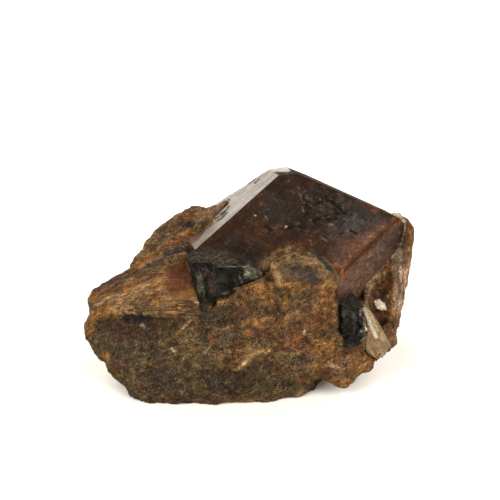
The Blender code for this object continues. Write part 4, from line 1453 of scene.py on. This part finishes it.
def ramp_beside_face(points, place, facing):
    """Lets the crust rise from the second face in a slope, not in a wall."""
    direction, length, far = rays_to_plane(points, place, facing)
    rise = 0.75 * PIXEL * picture_gap(points, FACE_BORDER) + 0.15 * layered_noise(points, 1.0, 77)
    x, y = in_picture(points)
    share = smooth_step(*CRUST_LEFT_COLUMNS, x) * fall(*CRUST_FOOT_ROWS, y) * fall(5.0, 7.0, far - length)
    share *= fall(*CRUST_RIGHT_COLUMNS, x)
    points += direction * (np.maximum(far - rise - length, 0) * share)[:, None]


def press_back(points, corners, amount):
    """Moves the skin away from the camera inside an outline in the picture."""
    share = outline_share(points, corners, 2.0, 0.5, 76, 7.0)
    points -= OUTWARD * (amount * share)[:, None]


def bent_places(points, amount, size, seed):
    """The points pushed about by soft noise, so that grains get uneven rims."""
    return points + amount * np.stack([soft_noise(points, size, seed + axis) for axis in range(3)], axis=1)


def mottled_tint(points, warm):
    """Mixed grains of three sizes, from cool or warm colours."""
    bent = bent_places(points, 0.35, 0.9, 200)
    tint = np.zeros((len(points), 3))
    for size, share, seed in ((4.5, 0.25, 230), (2.2, 0.35, 210), (1.1, 0.4, 220)):
        _, own = grains(bent, size, seed)
        cool_colour = np.array(COOL_GRAINS)[(own * len(COOL_GRAINS)).astype(int)]
        warm_colour = np.array(WARM_GRAINS)[(own * len(WARM_GRAINS)).astype(int)]
        tint += share * (cool_colour + (warm_colour - cool_colour) * warm[:, None])
    return tint


def rock_tint(points):
    """The rock's colours, also on the small garnet that is grown together with it."""
    cool = np.clip(sum(patch_share(points, *patch, seed=70) for patch in COOL_PATCHES), 0, 1)
    warm = np.clip(0.66 + 0.55 * layered_noise(points, 6.0, 21) - 0.75 * cool, 0, 1)
    tint = mottled_tint(points, warm)
    paint_patches(tint, points, ROCK_PATCHES + BLOCK_PATCHES)
    paint_lines(tint, points, ROCK_LINES)
    return tint * np.array(ROCK_WARMTH)


def paint_far_side(tint, points, normals):
    """Patches of other grains on the sides that face away."""
    far = smooth_step(-0.05, 0.3, -(normals @ OUTWARD))
    for seed, size, low, colour, strength in FAR_PATCHES:
        paint(tint, strength * far * blotches(points, size, seed, low, low + 0.12), colour)


def relief(points):
    """How far the broken rock's surface moves out: its broad steps and its fine grains."""
    bent = bent_places(points, 0.25, 0.8, 60)
    heart, _ = grains(bent, 0.95, 5)
    _, step = grains(bent, 2.0, 6)
    broad = 0.26 * layered_noise(points, 3.2, 3) + 0.2 * (step - 0.5)
    fine = 0.15 * (np.minimum(heart, 0.5) / 0.5 - 0.6) + 0.14 * layered_noise(points, 0.9, 4, 2)
    return broad, fine


def flatten_facet(points, facet):
    """Draws the points of the red facet onto one plane."""
    corners = [seen(*corner) for corner in RED_FACET]
    facing = np.cross(corners[3] - corners[0], corners[2] - corners[0])
    facing /= np.linalg.norm(facing)
    facing *= np.sign(facing @ OUTWARD)
    level = (np.mean(corners, axis=0) - points) @ facing - 0.15
    points += (facet * np.clip(level, -1.5, 1.5))[:, None] * facing


def shape_rock(points, normals, slope, ledge, facet, under, crust):
    """Moves the rock's points: relief, fibres, the ledge, the flat red facet and small ridges."""
    broad, fine = relief(points)
    calm = np.clip(slope + ledge, 0, 1)
    fine *= (1 - 0.75 * calm) * (1 - facet)
    fine += 0.28 * slope * layered_noise(along_fibres(points, FIBRE_TURN), 0.9, 13)
    fine += 0.26 * ledge * layered_noise(along_fibres(points, 0), 0.7, 14)
    fine += 0.22 * crust * layered_noise(along_fibres(points, 90), 1.2, 15)
    fine -= 0.35 * blotches(points, 1.6, 47, 0.35, 0.7) * (1 - facet)
    depth = broad * (1 - 0.8 * facet) + fine
    _, y = in_picture(points)
    depth -= 0.85 * under * fall(*UNDER_ROWS, y)
    depth += 0.7 * fall(0.15, 1.2, line_gap(points, CURVED_RIDGE))
    for *oval, drop in HOLLOWS:
        depth -= drop * patch_share(points, *oval)
    depth -= 0.12 * fall(0.2, 0.8, line_gap(points, CRUST_GROOVE))
    points += normals * depth[:, None]
    flatten_facet(points, facet)
    return fine


def rock_zones(points):
    """How far each point lies on the slope, the ledge and the red facet, under the ledge, on the crust."""
    slope = outline_share(points, FIBRE_SLOPE, 3.0, 2.0, 8)
    ledge = outline_share(points, LEDGE_BAND, 2.0, 1.0, 9)
    ledge = np.maximum(ledge, 0.8 * outline_share(points, LEDGE_LEFT, 5.0, 3.0, 19))
    facet = outline_share(points, RED_FACET, 2.5, 2.5, 10)
    under = outline_share(points, UNDER_LEDGE, 1.5, 0.6, 12)
    return slope, ledge, facet, under, outline_share(points, CRUST, 4.0, 3.0, 11, 9.0)


def clear_crystals(points, rock_gap):
    """Draws the rock's skin back from the crystals' faces and closes it up to the large garnet."""
    rims = sum(outline_share(points, corners, 5.0, 3.0, 16) for corners in BLOCK_RIMS)
    for node in SMALL_PIECES:
        open_over(points, node, rock_gap, np.clip(rims, 0, 1) if node == "small_garnet" else 0.0)
    sink_behind(points, "diopside_crystal", DIOPSIDE_RIM, DIOPSIDE_SINK)
    sink_behind(points, "black_crystal", BLACK_RIM, BLACK_SINK)
    close_gap(points, tree_of(cad_mesh("garnet_crystal")), GARNET_REACH, GARNET_OVERLAP)
    place = seen(*SECOND_FACE_SPOT)
    ramp_beside_face(points, place, SECOND_FACE)
    for corners in (SECOND_FACE_RIM, SECOND_FACE_FOOT):
        sink_to_plane(points, place, SECOND_FACE, corners, SECOND_FACE_SINK)
    press_back(points, DIOPSIDE_SIDE, 0.5)
    press_back(points, DIOPSIDE_LEG, 0.15)


def paint_rock(points, normals, fine, facet, under):
    """The rock's colours, with painted shade in the hollows of the fine relief and under the ledge, and how
    far each point lies on the facet's smooth part.
    """
    # Painted shade: the tint darkens in the hollows of the fine relief.
    tint = rock_tint(points) * (0.58 + 0.72 * smooth_step(-0.25, 0.12, fine))[:, None]
    x, y = in_picture(points)
    red = facet * smooth_step(*FACET_RED_COLUMNS, x + 4 * layered_noise(points, 1.5, 39))
    paint(tint, red, FACET_RED)
    low = smooth_step(*FACET_LOW_ROWS, y + 0.2 * (x - FACET_MIDDLE) + 3 * layered_noise(points, 1.5, 37))
    paint(tint, 0.8 * facet * low, ORANGE)
    paint(tint, 0.5 * facet * patch_share(points, *FACET_RUST_SPOT), RUST)
    paint_crust_lines(tint, points, smooth_step(0.0, 0.3, normals @ OUTWARD))
    paint_far_side(tint, points, normals)
    # Painted shade under the ledge: dark brown blotches.
    paint(tint, 0.4 * under * blotches(points, 3.0, 35, -0.3, 0.3), DARK_BROWN)
    return tint, np.maximum(red, facet * low)


def make_rock():
    matrix = cad_mesh("matrix")
    fills = rock_fills()
    shapes = [matrix] + fills + [grown(cad_mesh(node), SKIN_OVER) for node in SMALL_PIECES]
    mesh = keep_largest(fine_mesh(joined(shapes), ROCK_CELL, False))
    points, normals = read_points(mesh)
    _, rock_gap = gaps_to(points, tree_of(joined([matrix] + fills)), 3.0)
    slope, ledge, facet, under, crust = rock_zones(points)
    fine = shape_rock(points, normals, slope, ledge, facet, under, crust)
    clear_crystals(points, rock_gap)
    calm_spikes(mesh, points, SPIKE_LIMIT)
    points[:, 2] = np.maximum(points[:, 2], 0)

    tint, smooth = paint_rock(points, normals, fine, facet, under)
    # Fewer pale strokes under the ledge, which lies in painted shade.
    speckle = np.clip(0.55 + 0.6 * layered_noise(points, 5.0, 33), 0, 1) * (1 - 0.7 * under)
    traits = marks_of(points, 0, 0.9 * smooth, speckle)
    patchy = blotches(points, 2.5, 36, -0.35, 0.15)
    fibres = marks_of(points, slope * (0.5 + 0.45 * patchy), 0.95 * ledge, 0.7 * crust)
    material = rock_material("rock")
    finish_piece("matrix_rock", mesh, points, 50, material, "matrix", tint=tint, traits=traits, fibres=fibres)


# ---------------------------------------------------------------- the small crystals

DOME_RIM = ((273, 266), (280, 259), (290, 255), (301, 256.5), (312, 261), (321, 268), (328, 278))
DOME_SHADOW = ((299, 252), (307, 252), (316, 255), (324, 261), (331, 270))
DOME_LEG = ((272, 265), (276, 274), (283, 285))
DOME_HEART = [(283, 272), (290, 266.5), (304, 265), (316, 270), (323, 278), (319, 283.5), (299, 281)]
DOME_PATCHES = (
    (272, 278, 3.5, 8, 15, BROWN, 0.8),
    (286, 268, 7, 3, 20, OLIVE, 0.7),
    (296, 276, 9, 4, 5, PURPLE, 0.7),
    (302, 270, 16, 5, -10, DARK_BROWN, 0.6),
    (313, 278, 8, 4.5, -25, BLUE_BLACK, 0.6),
    (293, 285, 10, 3, -5, ORANGE, 0.6),
    (313, 288, 9, 3, 0, BROWN, 0.6),
    (331, 280, 4, 7, 10, BROWN, 0.5),
    (328, 286, 7, 3, 0, ORANGE, 0.6),
    (318, 262, 8, 3, -40, TAN, 0.4),
    (297, 259, 9, 2.5, 10, OLIVE, 0.4),
)
DOME_TOP = [(268, 262), (280, 254), (303, 249), (322, 256), (334, 268), (336, 284), (296, 284), (272, 276)]
DIOPSIDE_TOP = [
    (184, 252), (198, 243), (225, 246), (246, 254), (262, 264), (246, 268), (228, 266), (208, 268), (190, 272)
]
DIOPSIDE_TAIL = [(243, 266), (250, 262), (268, 270), (256, 279), (244, 279)]
DIOPSIDE_FOOT_ROWS = (292, 300)
# Bowls in the broken face: place in the picture, radius and depth in mm.
DIOPSIDE_BOWLS = ((230, 276, 3.6, 0.9), (206, 284, 4.0, 0.35))
DIOPSIDE_PATCHES = (
    (200, 284, 4, 12, 10, PALE_GREEN, 0.5),
    (206, 272, 3, 4, 0, CRYSTAL_DULL, 0.8),
    (213, 284, 6, 14, 5, CRYSTAL_BROWN, 0.8),
    (207, 307, 10, 12, 0, CRYSTAL_DULL, 0.7),
    (211, 308, 4, 5, 0, BROWN, 0.5),
    (226, 293, 4, 1.0, 10, PALE_GREEN, 0.7),
    (237, 288, 3, 1.0, 20, PALE_GREEN, 0.7),
    (241, 280, 1.5, 5, 20, PALE_GREEN, 0.6),
    (232, 266.5, 14, 1.0, 0, PALE_GREEN, 0.7),
    # Painted highlight: a small white dot on the tail.
    (247, 273, 2, 2, 0, WHITE, 0.25),
    (190, 253, 6, 3, 0, SHADOW, 0.5),
)
BLACK_DULL_ROWS = (305, 312)
# Painted sheen and highlights on the black crystal: place, half sizes and lean in the picture, then colour
# and strength.
BLACK_SHEEN_AND_HIGHLIGHTS = (
    (345, 313, 5, 3.5, 20, GREY_TONE_AND_SHEEN, 0.9),
    (355, 318, 2, 4, 20, GREY_TONE_AND_SHEEN, 0.5),
    (361, 330, 1.5, 2.0, 0, SCRATCH, 0.7),
    (341, 330, 1.3, 12, 0, PALE_GREEN, 0.3),
    (365, 324, 3.5, 9, -5, SCRATCH, 0.7),
    (366.5, 326, 1.6, 5, -10, WHITE, 0.6),
    (361, 312, 1.4, 5, -20, SCRATCH, 0.6),
    (363, 339, 5, 1.0, 40, SCRATCH, 0.9),
    (349, 345, 3.5, 2, 0, PALE_GREEN, 0.8),
)
VEIN_ENDS = ((384, 340), (366, 314))
VEIN_TAN_PATCH = (380, 346, 12, 10)
VEIN_PATCHES = (
    (374, 351, 7, 3, 20, RUST, 0.25),
    (383, 336, 4, 6, -30, VEIN_PALE, 0.4),
)
# A white streak that paints a highlight, and a pale column of the vein: corners and half width in the
# picture, and colour.
VEIN_HIGHLIGHT_AND_COLUMN = (
    (((362, 305), (367, 315), (371, 325), (376, 337)), 2.0, WHITE),
    (((367, 309), (373, 319), (378, 331)), 1.4, VEIN_PALE),
)


def fine_small(node, keep_edges):
    """A small crystal in fine cells, grown a little where the rock is near."""
    mesh = fine_mesh(cad_mesh(node), SMALL_CELL, keep_edges)
    points, normals = read_points(mesh)
    _, gaps = gaps_to(points, tree_of(cad_mesh("matrix", "garnet_crystal")), 0.8)
    points += normals * (RIM_GROW * fall(0.35, 0.75, gaps))[:, None]
    return mesh, points, normals


def make_small_garnet():
    mesh, points, normals = fine_small("small_garnet", False)
    heart = outline_share(points, DOME_HEART, 4.0, 2.0, 53)
    top = outline_share(points, DOME_TOP, 4.0, 2.0, 55)
    broad, fine = relief(points)
    depth = 0.5 * broad + (0.7 - 0.3 * top) * fine * (1 - heart) + 0.1 * layered_noise(points, 1.0, 51)
    depth += 0.1 * fall(0.1, 0.9, line_gap(points, DOME_RIM)) - 0.4 * heart
    points += normals * depth[:, None]

    # Painted shade: the tint darkens in the hollows of the fine relief.
    tint = rock_tint(points) * (0.6 + 0.55 * smooth_step(-0.25, 0.12, fine))[:, None]
    paint(tint, 0.55 * top, BROWN)
    paint(tint, 0.8 * heart, GREY_BROWN)
    uneven = 1.3 * layered_noise(points, 1.6, 56)
    paint(tint, 0.42 * fall(0.2, 1.5, line_gap(points, DOME_RIM) + uneven), TAN)
    paint_patches(tint, points, DOME_PATCHES)
    paint(tint, 0.9 * fall(0.3, 0.65, line_gap(points, DOME_SHADOW) + 0.12 * uneven), BLUE_BLACK)
    paint(tint, 0.75 * fall(0.2, 0.9, line_gap(points, DOME_LEG) + 0.4 * uneven), TAN)
    traits = marks_of(points, 0, 0.1 + 0.4 * heart, 0.5)
    material = rock_material("small_garnet")
    colours = {"tint": tint, "traits": traits, "fibres": marks_of(points)}
    finish_piece("small_garnet_surface", mesh, points, 50, material, "small_garnet", **colours)


def scoop(points, x, y, radius, depth):
    """Hollows a round bowl into the surface that shows here in the picture."""
    centre = seen(x, y) + OUTWARD * (radius - depth)
    offset = points - centre
    reach = np.linalg.norm(offset, axis=1)
    inside = reach < radius
    points[inside] = centre + offset[inside] * (radius / np.maximum(reach[inside], 0.1))[:, None]


def diopside_fills():
    """The crystal's left side and its leg that runs down into the rock."""
    fills = []
    for outline, front in ((DIOPSIDE_SIDE, 0.45), (DIOPSIDE_LEG, 0.2)):
        fills.append(hull_mesh([seen(x, y) + OUTWARD * out for out in (front, -2.0) for x, y in outline]))
    return fills


def make_diopside():
    mesh = fine_mesh(joined([cad_mesh("diopside_crystal")] + diopside_fills()), SMALL_CELL, False)
    points, normals = read_points(mesh)
    top = outline_share(points, DIOPSIDE_TOP, 3.0, 2.5, 63)
    tail = outline_share(points, DIOPSIDE_TAIL, 3.0, 2.0, 64)
    for bowl in DIOPSIDE_BOWLS:
        scoop(points, *bowl)
    depth = 0.18 * layered_noise(points, 1.5, 61)
    depth += (0.08 + 0.2 * top) * layered_noise(along_fibres(points, 15), 0.6, 62)
    _, own = grains(points, 1.8, 65)
    depth += 0.3 * (own - 0.5) * (1 - top)
    points += normals * depth[:, None]

    tint = plain_tint(points, CRYSTAL_BLACK)
    paint(tint, top, CRYSTAL_DULL)
    paint(tint, 0.8 * tail, PALE_GREEN)
    paint_patches(tint, points, DIOPSIDE_PATCHES)
    _, y = in_picture(points)
    traits = marks_of(points, 0, 0.9 * (1 - top) * (1 - tail) * fall(*DIOPSIDE_FOOT_ROWS, y))
    material = dark_crystal_material("diopside", 0.3)
    finish_piece("diopside_surface", mesh, points, 35, material, "diopside_crystal", tint=tint, traits=traits)


def make_black_crystal():
    mesh, points, normals = fine_small("black_crystal", True)
    _, own = grains(points, 1.6, 73)
    depth = 0.12 * layered_noise(points, 1.4, 71) + 0.46 * (own - 0.5)
    points += normals * depth[:, None]

    tint = plain_tint(points, CRYSTAL_BLACK)
    _, y = in_picture(points)
    dull = fall(*BLACK_DULL_ROWS, y + 3 * layered_noise(points, 1.0, 74))
    paint(tint, 0.35 * dull, CRYSTAL_DULL)
    # Painted sheen and highlights on the glassy body.
    paint_patches(tint, points, BLACK_SHEEN_AND_HIGHLIGHTS)
    traits = marks_of(points, 0, 0.9 - 0.7 * dull)
    material = dark_crystal_material("black_crystal", 0.13)
    colours = {"tint": tint, "traits": traits}
    finish_piece("black_crystal_surface", mesh, points, 30, material, "black_crystal", **colours)


def make_vein():
    mesh, points, normals = fine_small("pale_vein", False)
    along = seen(*VEIN_ENDS[0]) - seen(*VEIN_ENDS[1])
    along /= np.linalg.norm(along)
    flat = points - (points @ along)[:, None] * along * 0.88
    depth = 0.32 * layered_noise(flat, 1.0, 81) + 0.1 * layered_noise(points, 0.9, 84)
    points += normals * depth[:, None]

    tint = plain_tint(points, VEIN_TAN)
    paint(tint, 0.4 * blotches(flat, 0.8, 82, 0.0, 0.5), VEIN_PALE)
    paint(tint, 0.2 * blotches(flat, 0.9, 83, 0.15, 0.55), BROWN)
    paint(tint, 0.7 * patch_share(points, *VEIN_TAN_PATCH), VEIN_TAN)
    paint_patches(tint, points, VEIN_PATCHES)
    # The white streak is a painted highlight; the other is a pale column.
    for corners, width, colour in VEIN_HIGHLIGHT_AND_COLUMN:
        gap = picture_gap(points, corners) + 0.6 * layered_noise(points, 0.8, 85)
        paint(tint, 0.95 * fall(0.6 * width, 1.3 * width, gap), colour)
    finish_piece("pale_vein_surface", mesh, points, 50, vein_material("pale_vein"), "pale_vein", tint=tint)


def make_white_grain():
    mesh, points, normals = fine_small("white_grain", False)
    heart, _ = grains(points, 0.6, 91)
    depth = 0.1 * (np.minimum(heart, 0.5) / 0.5 - 0.6) + 0.15 * layered_noise(points, 0.8, 92)
    points += normals * depth[:, None]
    tint = plain_tint(points, WHITE)
    paint(tint, 0.6 * blotches(points, 0.7, 93, 0.3, 0.7), TAN)
    material = vein_material("white_grain")
    finish_piece("white_grain_surface", mesh, points, 50, material, "white_grain", tint=tint)


# ---------------------------------------------------------------- floor, light and camera

# Sizes and places in metres from here on.
FLOOR_HALF = 3.0
FLOOR_COLOUR = (0.94, 0.895, 0.81, 1)
LAMP_SIDE = 0.45
# Name, place and power of each lamp.
LAMPS = (
    ("front_left_light", (-0.40, -0.38, 0.42), 4.2),
    ("front_right_light", (0.42, -0.30, 0.40), 3.6),
    ("back_left_light", (-0.32, 0.42, 0.42), 3.0),
    ("back_right_light", (0.38, 0.40, 0.40), 3.0),
)
# Brightness of the world at two heights of the sky, from 0 level with the floor to 1 overhead.
SKY = ((0.25, 1.0), (0.65, 0.16))


def make_floor():
    mesh = bpy.data.meshes.new("floor")
    corners = [(x * FLOOR_HALF, y * FLOOR_HALF, 0) for x, y in ((-1, -1), (1, -1), (1, 1), (-1, 1))]
    mesh.from_pydata(corners, [], [(0, 1, 2, 3)])
    floor = add_object("floor", mesh)
    shader = Shader("pale_floor")
    shader.feed("Base Color", FLOOR_COLOUR)
    shader.feed("Roughness", 0.9)
    shader.feed("Specular IOR Level", 0.2)
    mesh.materials.append(shader.material)


def make_light(name, place, power):
    """A soft square lamp that faces the specimen."""
    lamp = bpy.data.lights.new(name, "AREA")
    lamp.size = LAMP_SIDE
    lamp.energy = power
    holder = add_object(name, lamp)
    holder.location = place
    holder.rotation_euler = (AIM * MM - Vector(place)).to_track_quat("-Z", "Y").to_euler()


def make_world():
    """White all round near the floor, dark overhead."""
    world = bpy.data.worlds.new("studio")
    bpy.context.scene.world = world
    world.use_nodes = True
    tree = world.node_tree
    background = tree.nodes["Background"]
    coordinates = tree.nodes.new("ShaderNodeTexCoord")
    split = tree.nodes.new("ShaderNodeSeparateXYZ")
    fade = tree.nodes.new("ShaderNodeValToRGB")
    for stop, (height, bright) in zip(fade.color_ramp.elements, SKY):
        stop.position = height
        stop.color = (bright, bright, bright, 1)
    tree.links.new(coordinates.outputs["Generated"], split.inputs[0])
    tree.links.new(split.outputs["Z"], fade.inputs["Fac"])
    tree.links.new(fade.outputs["Color"], background.inputs["Color"])
    background.inputs["Strength"].default_value = 1.0


def make_camera():
    camera = bpy.data.cameras.new("camera")
    camera.lens = LENS
    camera.sensor_width = SENSOR
    camera.clip_start = 0.01
    holder = add_object("camera", camera)
    turn = Matrix((RIGHT, UP, OUT)).transposed().to_4x4()
    holder.matrix_world = Matrix.Translation(EYE * MM) @ turn
    bpy.context.scene.camera = holder


bpy.context.scene.view_settings.view_transform = "Standard"
make_camera()
make_world()
for lamp_row in LAMPS:
    make_light(*lamp_row)
make_floor()
make_garnet()
make_rock()
make_small_garnet()
make_diopside()
make_black_crystal()
make_vein()
make_white_grain()
